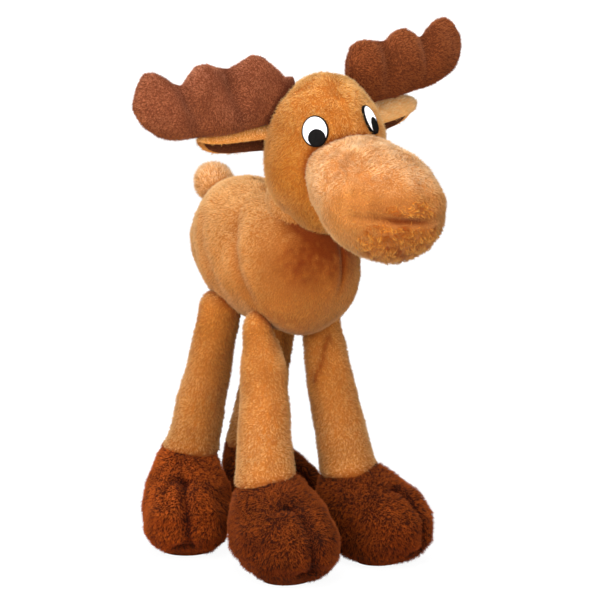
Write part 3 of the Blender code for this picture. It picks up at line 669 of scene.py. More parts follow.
def add_node(tree, kind, values=None, **settings):
    """A shader node with its settings, and values for its inputs by their title or number."""
    node = tree.nodes.new(kind)
    for title, setting in settings.items():
        setattr(node, title, setting)
    for place, value in (values or {}).items():
        node.inputs[place].default_value = value
    return node


def start_material(name, values):
    """A new material and its shader, with values for the shader's inputs."""
    material = bpy.data.materials.new(name)
    material.use_nodes = True
    shader = material.node_tree.nodes["Principled BSDF"]
    for title, value in values.items():
        shader.inputs[title].default_value = value
    return material, shader


def plush_material(name, root, middle, tip, sheen, tints):
    """Strand colour from the root to the tip, with lots that differ, painted light that makes the pile deeper
    in colour where it faces down and paler where it faces up, and painted shade in creases, at seams and
    underneath."""
    sheen_tint, painted_shade_tint = tints
    material, shader = start_material(name, {
        "Roughness": PLUSH_ROUGHNESS, "Specular IOR Level": PLUSH_SPECULAR,
        "Sheen Weight": sheen, "Sheen Roughness": SHEEN_ROUGHNESS, "Sheen Tint": (*sheen_tint, 1),
    })
    tree = material.node_tree
    link = tree.links.new

    def attribute(title):
        return add_node(tree, "ShaderNodeAttribute", attribute_name=title).outputs["Fac"]

    ramp = add_node(tree, "ShaderNodeValToRGB")
    ramp.color_ramp.elements[0].color = (*root, 1)
    ramp.color_ramp.elements[1].color = (*tip, 1)
    ramp.color_ramp.elements.new(STRAND_MIDDLE_SHARE).color = (*middle, 1)
    link(attribute("tip"), ramp.inputs["Fac"])

    lots = add_node(tree, "ShaderNodeMath", {1: LOT_SPAN, 2: LOT_LOWEST}, operation="MULTIPLY_ADD")
    link(attribute("lot"), lots.inputs[0])
    noise = add_node(tree, "ShaderNodeTexNoise", {"Scale": PATCH_SCALE, "Detail": 3})
    link(add_node(tree, "ShaderNodeTexCoord").outputs["Object"], noise.inputs["Vector"])
    patches = add_node(tree, "ShaderNodeMath", {1: PATCH_SPAN}, operation="MULTIPLY_ADD")
    link(noise.outputs["Fac"], patches.inputs[0])
    link(lots.outputs[0], patches.inputs[2])
    level = add_node(tree, "ShaderNodeMath", {1: PATCH_CUT}, operation="SUBTRACT")
    link(patches.outputs[0], level.inputs[0])
    grey = add_node(tree, "ShaderNodeCombineColor")
    for channel in range(3):
        link(level.outputs[0], grey.inputs[channel])

    product = {"data_type": "RGBA", "blend_type": "MULTIPLY"}
    scaled = add_node(tree, "ShaderNodeMix", {"Factor": 1.0}, **product)
    link(ramp.outputs["Color"], scaled.inputs[6])
    link(grey.outputs["Color"], scaled.inputs[7])
    colour = scaled.outputs[2]
    # Painted light and shade: the tone deepens the pile that faces down, and the painted shade darkens
    # creases, seams and the parts underneath
    for title, tint in (("tone_and_painted_light", TONE_AND_PAINTED_LIGHT_TINT), ("crease_and_painted_shade", painted_shade_tint)):
        deeper = add_node(tree, "ShaderNodeMix", {7: (*tint, 1)}, **product)
        link(attribute(title), deeper.inputs["Factor"])
        link(colour, deeper.inputs[6])
        colour = deeper.outputs[2]
    link(colour, shader.inputs["Base Color"])
    return material


def thread_material(name, colour, other):
    """Satin stitch: fine strands that differ a little, laid side by side."""
    values = {"Roughness": THREAD_ROUGHNESS, "Specular IOR Level": THREAD_SPECULAR}
    material, shader = start_material(name, values)
    tree = material.node_tree
    link = tree.links.new
    stretch = add_node(tree, "ShaderNodeMapping", {"Scale": (1, 1, THREAD_STRETCH_SHARE)})
    link(add_node(tree, "ShaderNodeTexCoord").outputs["Object"], stretch.inputs["Vector"])
    noise = add_node(tree, "ShaderNodeTexNoise", {"Scale": THREAD_SCALE, "Detail": 3})
    link(stretch.outputs["Vector"], noise.inputs["Vector"])
    mix = add_node(tree, "ShaderNodeMix", {6: (*colour, 1), 7: (*other, 1)}, data_type="RGBA")
    link(noise.outputs["Fac"], mix.inputs["Factor"])
    link(mix.outputs[2], shader.inputs["Base Color"])
    bump = add_node(tree, "ShaderNodeBump", {"Strength": THREAD_RIDGE_SHARE, "Distance": THREAD_RIDGE})
    link(noise.outputs["Fac"], bump.inputs["Height"])
    link(bump.outputs["Normal"], shader.inputs["Normal"])
    return material


# Tints of the sheen and of the painted shade in creases, at seams and underneath
warm_tints = ((1.0, 0.65, 0.36), (0.40, 0.20, 0.09))
brown_tints = ((1.0, 0.42, 0.25), (0.30, 0.20, 0.15))
# Title, the strands' colours at the root, in the middle and at the tip, and sheen
warm_rows = {
    "tan": ("tan plush", (0.46, 0.14, 0.020), (0.72, 0.32, 0.080), (0.92, 0.62, 0.32), 0.30),
    "orange": ("orange plush", (0.42, 0.115, 0.012), (0.72, 0.31, 0.053), (0.92, 0.62, 0.29), 0.25),
    "light": ("light plush", (0.48, 0.165, 0.035), (0.75, 0.37, 0.125), (0.92, 0.69, 0.48), 0.35),
    "ear": ("ear plush", (0.66, 0.24, 0.045), (0.94, 0.50, 0.15), (1.0, 0.80, 0.48), 0.40),
    # The left ear's plush is a paler copy of the ear plush: painted light that lifts it out of the antler's
    # shade
    "painted_light_ear": ("pale ear plush", (1.0, 0.44, 0.12), (1.0, 0.65, 0.30), (1.0, 0.86, 0.62), 0.8),
    "chin": ("chin plush", (0.24, 0.055, 0.005), (0.90, 0.37, 0.072), (1.0, 0.74, 0.32), 0.30),
}
brown_rows = {
    # The right antler's plush is lighter than the left's: painted light, the right antler lying nearer the
    # key lamp
    "right_antler": (
        "right antler plush", (0.14, 0.035, 0.013), (0.36, 0.117, 0.054), (0.60, 0.26, 0.155), 0.20,
    ),
    "left_antler": (
        "left antler plush", (0.10, 0.021, 0.005), (0.27, 0.070, 0.018), (0.48, 0.165, 0.060), 0.15,
    ),
    "lining": ("ear lining plush", (0.08, 0.020, 0.006), (0.24, 0.075, 0.030), (0.42, 0.16, 0.07), 0.15),
    "sole": ("sole cloth", (0.09, 0.018, 0.004), (0.14, 0.030, 0.008), (0.20, 0.05, 0.015), 0.10),
}
materials = {}
for rows, tints in ((warm_rows, warm_tints), (brown_rows, brown_tints)):
    for key, row in rows.items():
        materials[key] = plush_material(*row, tints)
materials["white"] = thread_material("white thread", (0.95, 0.94, 0.98), (0.84, 0.83, 0.89))
materials["black"] = thread_material("black thread", (0.003, 0.0026, 0.0026), (0.008, 0.007, 0.0065))

# Painted light: each boot's colours are scaled by a gain of its own, lighter where the light falls more
# strongly
HOOF_SHEEN = 0.06
hoof_colours = ((0.025, 0.004, 0.0005), (0.16, 0.028, 0.003), (0.48, 0.100, 0.012))
hoof_painted_light_gains = {"front_right": 1.05, "front_left": 1.30, "rear_right": 1.75, "rear_left": 1.30}
for leg, gain in hoof_painted_light_gains.items():
    colours = (tuple(colour) for colour in np.array(hoof_colours) * gain)
    materials[f"{leg}_hoof"] = plush_material(f"{leg} hoof plush", *colours, HOOF_SHEEN, brown_tints)


# Filled forms

SHAPE_COUNTS = (60, 45)
SKIN_COUNTS = (120, 90)
TORSO_COUNTS = (144, 96)
TAIL_COUNTS = (64, 48)
# Length, half width, half height, fullness, and the shares of width, height and rise
torso_form = (
    TORSO_LENGTH, TORSO_HALF_WIDTH, TORSO_HALF_HEIGHT, TORSO_FULLNESS,
    torso_width_shares, torso_height_shares, torso_rise_shares,
)
head_form = (
    2 * HEAD_HALF_HEIGHT, HEAD_HALF_WIDTH, HEAD_HALF_DEPTH, HEAD_FULLNESS,
    head_width_shares, head_depth_shares, head_forward_shares,
)
muzzle_form = (
    MUZZLE_LENGTH, MUZZLE_HALF_WIDTH, MUZZLE_HALF_HEIGHT, MUZZLE_FULLNESS,
    muzzle_width_shares, muzzle_height_shares, muzzle_rise_shares,
)
tail_form = (
    TAIL_LENGTH, TAIL_RADIUS, TAIL_RADIUS, TAIL_FULLNESS,
    tail_radius_shares, tail_radius_shares, tail_rise_shares,
)


def stuffed_mesh(name, form, inset, counts, place):
    """A closed form along local -Y, from its back end to its front end, with so many sides and rings."""
    length, half_width, half_height, fullness, width_shares, height_shares, rise_shares = form
    sides, ring_count = counts
    places = (1 - np.cos(np.pi * np.arange(1, ring_count) / ring_count)) / 2
    rounding = np.sqrt(1 - np.abs(2 * places - 1) ** fullness)
    widths = (half_width * smooth_share(width_shares, places) - inset) * rounding
    heights = (half_height * smooth_share(height_shares, places) - inset) * rounding
    rises = half_height * smooth_share(rise_shares, places)
    alongs = (length / 2 - inset) * (1 - 2 * places)
    angles = ring_angles(sides)
    rings = np.stack([
        widths[:, None] * np.cos(angles)[None],
        np.repeat(alongs[:, None], sides, axis=1),
        rises[:, None] + heights[:, None] * np.sin(angles)[None],
    ], axis=2)
    back = Vector((0, length / 2 - inset, half_height * rise_shares[0]))
    front = Vector((0, inset - length / 2, half_height * rise_shares[-1]))
    mesh = grid_mesh(name, rings, back, front)
    mesh.transform(place)
    return mesh


def torso_mesh(inset):
    return stuffed_mesh("torso_skin", torso_form, inset, TORSO_COUNTS, TORSO_PLACE)


def head_mesh(inset, counts=SKIN_COUNTS):
    return stuffed_mesh("head_skin", head_form, inset, counts, HEAD_PLACE)


def muzzle_mesh(inset, counts=SKIN_COUNTS):
    return stuffed_mesh("muzzle_skin", muzzle_form, inset, counts, MUZZLE_PLACE)


def straight_head_tree():
    """The head in its own directions."""
    mesh = head_mesh(0)
    mesh.transform(HEAD_FRAME.inverted())
    return tree_of(mesh)


head_shape = tree_of(head_mesh(0, SHAPE_COUNTS))
muzzle_shape = tree_of(muzzle_mesh(0, SHAPE_COUNTS))
torso_shape = tree_of(torso_mesh(0))

# How deep in a neighbour a root lies before it is left out
HIDDEN_DEPTH = 0.002
HEAD_HIDDEN_DEPTH = 0.003
TORSO_HIDDEN_DEPTH = 0.004


def comb_one_way(way, place=None):
    """Lays all strands the same way, given in the directions of a place."""
    flow = np.array([way])
    if place is not None:
        flow = turned(flow, place)
    return lambda roots: np.repeat(flow, len(roots), axis=0)


comb_down_back = comb_one_way((0.0, 0.35, -0.9))


# Torso

# Soft folds on the flanks: place along the torso, how they slant, depth, and half width
flank_folds = (
    (0.044, 0.15, 0.0014, 0.0070), (0.021, 0.38, 0.0012, 0.0060),
    (-0.0130, 0.38, 0.0022, 0.0052), (-0.036, 0.30, 0.0008, 0.0080),
)
# Painted shade in the folds' dents
FOLD_SHADE = 0.42
FOLD_TOP = 0.036
FOLD_FOOT = -0.030
FOLD_WAVE = 0.0015
FOLD_WAVE_RATE = 70
FOLD_WAVE_STEP = 1.7
FOLD_DEEPEST = 0.0022
LEFT_FOLD_SHARE = 0.5
# The chest's seam, pressed in, with painted shade along it
CHEST_SEAM_DEPTH = 0.0014
CHEST_SEAM_HALF = 0.0022
CHEST_SEAM_FADE = 0.01
CHEST_SEAM_FOOT = -0.022
CHEST_SEAM_FOOT_FADE = 0.012
CHEST_SEAM_SHADE = 0.35
# Painted shadow under the head on the chest: its middle, reach and depth, a darker core, and its mottling
CHEST = (-0.008, -0.066, 0.014)
CHEST_REACH = 0.028
CHEST_SHADE = 1.1
CHEST_SHADOW_CORE = (-0.021, -0.058, 0.002)
CHEST_SHADOW_CORE_REACH = 0.021
CHEST_SHADOW_CORE_SHARE = 0.85
CHEST_PATCH_SHARE = 0.20
CHEST_PATCH_SCALE = 0.0045
CHEST_PATCH_SEED = 31
# Painted shade on the throat under the head, and beside the muzzle
THROAT_REACH = 0.010
THROAT_SHADE = 0.75
JAW_REACH = 0.008
JAW_SHARE = 0.6
# Painted shade under the belly, which also deepens its colour
BELLY_SHADE = 0.50
BELLY_WARMTH = 1.7
BELLY_TOP = -TORSO_HALF_HEIGHT / 2
BELLY_ROUGH = 0.6
FLANK_ROUGH = 0.15
PANEL_SEED_STEP = 300


def torso_local(points):
    """Points in the torso's own directions, from its middle."""
    return moved(points, TORSO_PLACE.inverted())


def add_folds(mesh):
    """Dents with painted shade in them, that run down both flanks and fade out towards the back and the
    belly.
    """
    across, along, height = torso_local(mesh_points(mesh)).T
    total = np.zeros(len(across))
    middle = (FOLD_TOP + FOLD_FOOT) / 2
    reach = (FOLD_TOP - FOLD_FOOT) / 2
    fade = np.clip(1 - ((height - middle) / reach) ** 4, 0, 1)
    side = np.clip(np.abs(across) / (TORSO_HALF_WIDTH / 2), 0, 1)
    for number, (place, slant, depth, half) in enumerate(flank_folds):
        wave = np.sin(height * FOLD_WAVE_RATE + FOLD_WAVE_STEP * number + np.sign(across))
        total += depth * near_share(along - (place + slant * height + FOLD_WAVE * wave), half)
    total *= np.where(across > 0, LEFT_FOLD_SHARE, 1)
    press(mesh, total * fade * side)
    add_painted_shade(mesh, FOLD_SHADE * total * fade * side / FOLD_DEEPEST)


def shade_torso(mesh):
    """Paints shade on the throat under the head and muzzle, a shadow under the head on the chest and shade
    under the belly, and presses the chest's seam in.
    """
    points = mesh_points(mesh)
    local = torso_local(points)
    jaw = JAW_SHARE * seam_fade(muzzle_shape, points, JAW_REACH)
    throat = np.maximum(seam_fade(head_shape, points, THROAT_REACH), jaw)
    front = ramp_share(-local[:, 1], TORSO_LENGTH / 3, CHEST_SEAM_FADE)
    front = front * ramp_share(local[:, 2], CHEST_SEAM_FOOT, CHEST_SEAM_FOOT_FADE)
    seam = near_share(local[:, 0], CHEST_SEAM_HALF) * front
    hollow = CHEST_SHADOW_CORE_SHARE * near_share(distances(local, CHEST_SHADOW_CORE), CHEST_SHADOW_CORE_REACH)
    chest = np.maximum(near_share(distances(local, CHEST), CHEST_REACH), hollow)
    chest *= 1 + CHEST_PATCH_SHARE * wave_noise(local, CHEST_PATCH_SCALE, CHEST_PATCH_SEED)
    under = np.clip(-local[:, 2] / TORSO_HALF_HEIGHT, 0, 1) ** 2
    sewn = THROAT_SHADE * throat ** 2 + CHEST_SEAM_SHADE * seam
    store(mesh, "crease_and_painted_shade", sewn + CHEST_SHADE * chest + BELLY_SHADE * under)
    store(mesh, "warmth_and_painted_shade", chest + BELLY_WARMTH * under)
    press(mesh, CHEST_SEAM_DEPTH * seam)


def make_torso():
    mesh = torso_mesh(SHORT_INSET)
    shade_torso(mesh)
    add_folds(mesh)
    lump(mesh, "torso")
    skin = make_skin("torso_skin", mesh, "tan", "torso", ("torso_casing", "torso_stuffing"))
    panels = (
        ("right", FLANK_ROUGH, lambda local: (local[:, 0] < 0) & (local[:, 2] > BELLY_TOP)),
        ("left", FLANK_ROUGH, lambda local: (local[:, 0] >= 0) & (local[:, 2] > BELLY_TOP)),
        ("belly", BELLY_ROUGH, lambda local: local[:, 2] <= BELLY_TOP),
    )
    for number, (title, rough, within) in enumerate(panels):
        seed = pile_seeds["torso"] + PANEL_SEED_STEP * number
        make_pile(
            f"torso_pile_{title}", skin, "tan", "torso", piles["torso"], comb_down_back, seed,
            lambda roots, ups: inside(head_shape, roots, TORSO_HIDDEN_DEPTH) | ~within(torso_local(roots)),
            rough=rough,
        )


# Head

# The stuffed head leans a little to its own left over the muzzle
HEAD_LEAN = np.array([0.0020, -0.0008, 0.0])
LEAN_FOOT = 0.010
LEAN_TOP = 0.045
CHEEK_FULL = 0.0036
CHEEK_HEIGHT = 0.024
CHEEK_REACH = 0.022
# Painted shade where the head meets the muzzle, and painted light: paler at the top, deeper in colour at the
# foot
HEAD_SEAM_REACH = 0.0045
HEAD_SEAM_SHADE = 0.7
HEAD_TOP_PAINTED_LIGHT = -0.06
HEAD_LOW_PAINTED_SHADE = 0.80
HEAD_ROUGH = 0.75
HEAD_COMB_ASIDE = 0.35
HEAD_COMB_BACK = 0.2
HEAD_COMB_DOWN = -0.8
CROWN_COMB_AHEAD = 0.5
CROWN_HEIGHT = 0.06


def leant(points):
    """The head's points with its lean and its fuller left cheek."""
    local = moved(points, HEAD_FRAME.inverted())
    share = ramp_share(local[:, 2], LEAN_FOOT, LEAN_TOP - LEAN_FOOT)
    share = share * share * (3 - 2 * share)
    cheek = near_share(local[:, 2] - CHEEK_HEIGHT, CHEEK_REACH)
    cheek *= np.clip(local[:, 0] / HEAD_HALF_WIDTH, 0, 1) * CHEEK_FULL
    local[:, 0] += cheek
    return moved(local + share[:, None] * HEAD_LEAN, HEAD_FRAME)


def comb_head(roots):
    """Down and aside from the face's middle, and ahead over the crown."""
    local = moved(roots, HEAD_FRAME.inverted())
    aside = np.sign(local[:, 0]) * HEAD_COMB_ASIDE
    back = HEAD_COMB_BACK - CROWN_COMB_AHEAD * (local[:, 2] > CROWN_HEIGHT)
    return turned(np.stack([aside, back, np.full(len(roots), HEAD_COMB_DOWN)], axis=1), HEAD_FRAME)


def make_head():
    mesh = head_mesh(PLUSH_INSET)
    put_points(mesh, leant(mesh_points(mesh)))
    points = mesh_points(mesh)
    # Painted shade where the head meets the muzzle, and painted light from the top down
    store(mesh, "crease_and_painted_shade", HEAD_SEAM_SHADE * seam_fade(muzzle_shape, points, HEAD_SEAM_REACH) ** 2)
    down_share = (points[:, 2].max() - points[:, 2]) / np.ptp(points[:, 2])
    store(mesh, "warmth_and_painted_shade", HEAD_TOP_PAINTED_LIGHT + (HEAD_LOW_PAINTED_SHADE - HEAD_TOP_PAINTED_LIGHT) * down_share)
    lump(mesh, "head")
    skin = make_skin("head_skin", mesh, "orange", "head", ("head_casing", "head_stuffing"))
    make_pile(
        "head_pile", skin, "orange", "head", piles["head"], comb_head, pile_seeds["head"],
        lambda roots, ups: inside(muzzle_shape, roots, HEAD_HIDDEN_DEPTH), rough=HEAD_ROUGH,
    )


# Muzzle

# The mouth's line on the muzzle, in the muzzle's own frame
mouth_line = np.array((
    (-0.030, -0.027, 0.0095), (-0.0215, -0.036, 0.0125), (-0.0115, -0.043, 0.0135),
    (0.001, -0.0455, 0.013), (0.011, -0.045, 0.0105), (0.0235, -0.0385, 0.006), (0.031, -0.024, 0.003),
))
# The mouth's crease: depth, width and painted shade, fading at both ends
MOUTH_DEPTH = 0.0026
MOUTH_HALF = 0.0020
MOUTH_SHADE = 0.75
MOUTH_START = -0.033
MOUTH_START_FADE = 0.022
MOUTH_START_SHARE = 0.2
MOUTH_END = 0.014
MOUTH_END_FADE = 0.012
MOUTH_END_SHARE = 0.1
LIP_RISE = 0.0012
LIP_REACH = 0.006
LOW_LIP_SHARE = 0.8
upper_lip_shift = np.array([0, 0, 0.007])
lower_lip_shift = np.array([0, 0.001, -0.007])
# Painted shade where the muzzle meets the head
MUZZLE_SEAM_REACH = 0.0035
MUZZLE_SEAM_SHADE = 0.85
# Where painted shade darkens the lip and where it is warmer: over the mouth's line, and how far around
lip_shade_shift = np.array([0, 0, 0.006])
LIP_SHADE_REACH = 0.008
LIP_SHADE = 0.16
lip_warmth_shift = np.array([0, 0, 0.004])
LIP_WARMTH_REACH = 0.017
LIP_WARMTH = 1.3
MUZZLE_WARMTH = -0.06
# The chin: its middle, painted shade and warmth, and the edge, patches and ruffle of its own pile
CHIN = (-0.004, -0.044, -0.001)
CHIN_REACH = 0.024
CHIN_SHADE = 0.40
CHIN_WARMTH = 0.4
CHIN_EDGE_SHARE = 0.40
CHIN_TOP = 0.010
CHIN_GAP = 0.001
CHIN_GAP_FADE = 0.003
CHIN_EDGE_PATCH_SHARE = 0.12
CHIN_EDGE_PATCH_SCALE = 0.006
CHIN_EDGE_PATCH_SEED = 240
CHIN_ROUGH = 1.5
CHIN_RUFFLE = 1.7
CHIN_RUFFLE_SCALE = 0.010
CHIN_RUFFLE_SEED = 200
muzzle_comb = (0.0, -0.7, -0.5)


def muzzle_local(points):
    """Points in the muzzle's own directions, from its middle."""
    return moved(points, MUZZLE_PLACE.inverted())


def near_chin(local):
    """1 at the chin's middle, falling off around it."""
    return near_share(distances(local, CHIN), CHIN_REACH)


def sew_mouth(mesh):
    """Fills out both lips and sews the line between them with painted shade along it, fading at its ends."""
    local = muzzle_local(mesh_points(mesh))
    above = path_distance(local, mouth_line + upper_lip_shift)
    below = path_distance(local, mouth_line + lower_lip_shift)
    press(mesh, -LIP_RISE * (near_share(above, LIP_REACH) + LOW_LIP_SHARE * near_share(below, LIP_REACH)))
    start = np.clip((local[:, 0] - MOUTH_START) / MOUTH_START_FADE, MOUTH_START_SHARE, 1)
    end = np.clip((MOUTH_END - local[:, 0]) / MOUTH_END_FADE, MOUTH_END_SHARE, 1)
    line = moved(mouth_line, MUZZLE_PLACE)
    crease_and_painted_shade(mesh, line, MOUTH_DEPTH, MOUTH_HALF, MOUTH_SHADE, np.minimum(start, end))


def shade_muzzle(mesh):
    """Paints shade on the seam with the head, on the chin and over the lip, and warms the lips and the chin.
    """
    points = mesh_points(mesh)
    local = muzzle_local(points)
    fade = seam_fade(head_shape, points, MUZZLE_SEAM_REACH)
    chin = near_chin(local)
    lip = near_share(path_distance(local, mouth_line + lip_shade_shift), LIP_SHADE_REACH)
    sewn = stored(mesh, "crease_and_painted_shade") + MUZZLE_SEAM_SHADE * fade ** 2
    store(mesh, "crease_and_painted_shade", sewn + CHIN_SHADE * chin + LIP_SHADE * lip)
    wide_lip = near_share(path_distance(local, mouth_line + lip_warmth_shift), LIP_WARMTH_REACH)
    store(mesh, "warmth_and_painted_shade", LIP_WARMTH * wide_lip + CHIN_WARMTH * chin + MUZZLE_WARMTH)


def chin_share(roots):
    """How much a root belongs to the chin, with a ragged edge."""
    local = muzzle_local(roots)
    ahead = ramp_share(path_distance(local, mouth_line), CHIN_GAP, CHIN_GAP_FADE)
    below = local[:, 2] < np.interp(local[:, 0], mouth_line[:, 0], mouth_line[:, 2]) + CHIN_TOP
    ragged = CHIN_EDGE_PATCH_SHARE * wave_noise(roots, CHIN_EDGE_PATCH_SCALE, CHIN_EDGE_PATCH_SEED)
    return near_chin(local) * ahead * below + ragged


def comb_muzzle(roots):
    """Ahead and down, ruffled at the chin."""
    flow = np.tile(np.array([muzzle_comb]), (len(roots), 1))
    ruffle = swirl_noise(roots, CHIN_RUFFLE_SCALE, CHIN_RUFFLE_SEED)
    return turned(flow, MUZZLE_PLACE) + CHIN_RUFFLE * near_chin(muzzle_local(roots))[:, None] * ruffle


def make_muzzle():
    mesh = muzzle_mesh(PLUSH_INSET)
    sew_mouth(mesh)
    shade_muzzle(mesh)
    lump(mesh, "muzzle")
    skin = make_skin("muzzle_skin", mesh, "light", "head", ("muzzle_casing",))

    def covered(roots, ups):
        return inside(head_shape, roots, HEAD_HIDDEN_DEPTH) | (chin_share(roots) > CHIN_EDGE_SHARE)

    def off_chin(roots, ups):
        return chin_share(roots) <= CHIN_EDGE_SHARE

    make_pile(
        "muzzle_pile", skin, "light", "head", piles["muzzle"], comb_muzzle, pile_seeds["muzzle"], covered,
    )
    make_pile(
        "chin_pile", skin, "chin", "head", piles["chin"], comb_muzzle, pile_seeds["chin"], off_chin,
        rough=CHIN_ROUGH,
    )


# Legs

LEG_SIDES = 72
LEG_STEPS = 64
CAP_STEPS = 12
# How far each leg's gathered top reaches outwards and up on the flank, and how much slimmer it is
leg_tops = {
    "front_right": (0.0045, 0.0065, 0.30), "front_left": (0.001, 0.004, 0.10),
    "rear_right": (0.0, 0.001, 0.0), "rear_left": (0.0, 0.001, 0.0),
}
LEG_TOP_REACH_SHARE = 0.30
leg_foot_drops = (0.0015, 0.003, 0.0045)
LEG_IN_HOOF = 0.006
LEG_ROUGH = 1.0
LEG_TOP_WARMTH = 0.60
LEG_LOW_WARMTH = -0.12
# Painted shade: a little all over the legs, more at the cuffs of legs and hooves and where the legs meet the
# torso
LEG_SHADE = 0.05
HIP_SEAM_SHADE = 0.9
HIP_SEAM_REACH = 0.007
CUFF_DEPTH = 0.0010
CUFF_HALF = 0.0035
LEG_CUFF_SHADE = 0.35
HOOF_CUFF_SHADE = 0.25
LEG_PILE_FOOT = -0.0005
HOOF_PILE_TOP = -0.0002
# The level way to the picture's right, along which the cuffs tilt
picture_right = np.array([0.788, -0.616, 0.0])
# The flap beside the front left leg's top, from the hip, with painted shade along it
flap_line = ((-0.004, -0.012, -0.006), (-0.008, -0.012, -0.022), (-0.014, -0.009, -0.034))
FLAP_DEPTH = 0.0014
FLAP_HALF = 0.0018
FLAP_SHADE = 0.7


def circle_rings(centres, radii, sides):
    angles = ring_angles(sides)
    ring = np.stack([np.cos(angles), np.sin(angles), np.zeros(sides)], axis=1)
    return np.asarray(centres)[:, None, :] + ring[None] * np.asarray(radii)[:, None, None]


def ankle_place(row):
    side, aside, y = row[1:4]
    return SHIFT + Vector((side * aside, y, ANKLE_HEIGHT))


def across_picture(points, row):
    """How far each point lies from a leg's ankle towards the picture's right."""
    return (points - np.array(ankle_place(row))) @ picture_right


def cuff_height(points, row):
    """Height over the cuff's own tilted plane."""
    rise, slope = row[5:]
    return points[:, 2] - ankle_place(row).z - rise - slope * across_picture(points, row)


def near_cuff(points, row):
    return near_share(cuff_height(points, row), CUFF_HALF)


def leg_mesh(name, side, hip, ankle):
    """A tube from a domed top at the hip to just under the ankle."""
    out, up, slim = leg_tops[name]
    cap = np.radians(90) * (1 - np.arange(1, CAP_STEPS) / CAP_STEPS)
    radius = HIP_RADIUS * (1 - slim) - PLUSH_INSET
    top_height = radius + up
    centres = [(hip.x + side * out, hip.y, hip.z + top_height * math.sin(angle)) for angle in cap]
    radii = [radius * math.cos(angle) for angle in cap]
    for share in np.linspace(0, 1, LEG_STEPS):
        centre = hip.lerp(ankle, share)
        fade = max(0.0, 1 - share / LEG_TOP_REACH_SHARE) ** 2
        centre.x += side * out * fade
        centres.append(tuple(centre))
        radius = HIP_RADIUS + (ANKLE_RADIUS - HIP_RADIUS) * float(smooth_share(leg_radius_shares, share))
        radii.append(radius * (1 - slim * fade) - PLUSH_INSET)
    for drop in leg_foot_drops:
        centres.append((ankle.x, ankle.y, ankle.z - drop))
        radii.append(ANKLE_RADIUS - PLUSH_INSET - drop)
    rings = circle_rings(np.array(centres), np.array(radii), LEG_SIDES)
    top = Vector((hip.x + side * out, hip.y, hip.z + top_height))
    bottom = Vector((ankle.x, ankle.y, ankle.z - leg_foot_drops[-1]))
    return grid_mesh(f"{name}_leg_skin", rings, top, bottom)


def make_leg(number, row):
    name, side = row[:2]
    hip = joint_place(f"{name}_hip")
    ankle = ankle_place(row)
    mesh = leg_mesh(name, side, hip, ankle - Vector((0, 0, LEG_IN_HOOF)))
    points = mesh_points(mesh)
    cuff = near_cuff(points, row)
    seam = seam_fade(torso_shape, points, HIP_SEAM_REACH)
    # Painted shade all over, at the cuff and under the torso
    store(mesh, "crease_and_painted_shade", LEG_SHADE + LEG_CUFF_SHADE * cuff + HIP_SEAM_SHADE * seam ** 2)
    up_share = ramp_share(points[:, 2], ankle.z, hip.z - ankle.z)
    store(mesh, "warmth_and_painted_shade", LEG_LOW_WARMTH + (LEG_TOP_WARMTH - LEG_LOW_WARMTH) * up_share)
    press(mesh, CUFF_DEPTH * cuff)
    if name == "front_left":
        crease_and_painted_shade(mesh, np.array(hip) + np.array(flap_line), FLAP_DEPTH, FLAP_HALF, FLAP_SHADE)
    lump(mesh, "leg", number)
    nodes = (f"{name}_leg_casing", f"{name}_leg_stuffing")
    skin = make_skin(f"{name}_leg_skin", mesh, "tan", f"{name}_leg", nodes)

    def hidden(roots, ups):
        return (cuff_height(roots, row) < LEG_PILE_FOOT) | inside(torso_shape, roots, HIDDEN_DEPTH)

    make_pile(
        f"{name}_leg_pile", skin, "tan", f"{name}_leg", piles["leg"], comb_down_back,
        pile_seeds["leg"] + number, hidden, rough=LEG_ROUGH,
    )


# Hooves

HOOF_SIDES = 120
HOOF_STEPS = 52
HOOF_STEP_POWER = 1.3
CLEFT_DEPTH = 0.0040
CLEFT_HALF = 0.0032
DIMPLE_DEPTH = 0.0030
cleft_shifts = {"front_right": -0.005, "front_left": 0.0, "rear_right": 0.0, "rear_left": 0.0}
# The cleft, the short line across its head and the dimple under it: sideways, ahead and height
cleft_line = ((0.0, 0.034, 0.044), (0.001, 0.045, 0.038), (0.002, 0.053, 0.028), (0.003, 0.056, 0.016))
cleft_head = ((-0.008, 0.034, 0.0435), (-0.003, 0.035, 0.045), (0.001, 0.035, 0.0435))
cleft_dimple = ((-0.005, 0.056, 0.008), (0.005, 0.056, 0.009))
# Line, depth and painted shade
cleft_creases = (
    (cleft_line, CLEFT_DEPTH, 0.95), (cleft_head, CLEFT_DEPTH / 2, 0.7), (cleft_dimple, DIMPLE_DEPTH, 0.8),
)
hoof_comb = (0.0, -0.5, -0.8)


def signed_power(values, power):
    return np.copysign(np.abs(values) ** power, values)


def hoof_ring(share, level, inset):
    """The boot's outline at a share of its height. Under its widest part it draws in towards the toe."""
    angles = ring_angles(HOOF_SIDES)
    reach = uneven_share(hoof_level_shares, hoof_reach_shares, share)
    ahead = max(reach, 0)
    if share <= WIDEST_LEVEL_SHARE:
        ahead = np.interp(share, (0, WIDEST_LEVEL_SHARE), (TOE_AHEAD_SHARE, 1))
    width = ANKLE_RADIUS + (HOOF_HALF_WIDTH - ANKLE_RADIUS) * reach - inset
    length = ANKLE_RADIUS + (HOOF_HALF_LENGTH - ANKLE_RADIUS) * reach - inset
    power = 2 + (HOOF_SQUARENESS - 2) * max(reach, 0)
    across = signed_power(np.sin(angles), 2 / power)
    along = signed_power(np.cos(angles), 2 / power)
    heights = np.full(HOOF_SIDES, level)
    return np.stack([width * across, -HOOF_FORWARD * ahead - length * along, heights], axis=1)


def hoof_place(row):
    """The hoof's own directions from the ankle."""
    return Matrix.Translation(ankle_place(row)) @ turn_about("Z", row[4])


def foot_place(row):
    """The hoof's own directions on the floor under the ankle."""
    ankle = ankle_place(row)
    return Matrix.Translation((ankle.x, ankle.y, 0)) @ turn_about("Z", row[4])


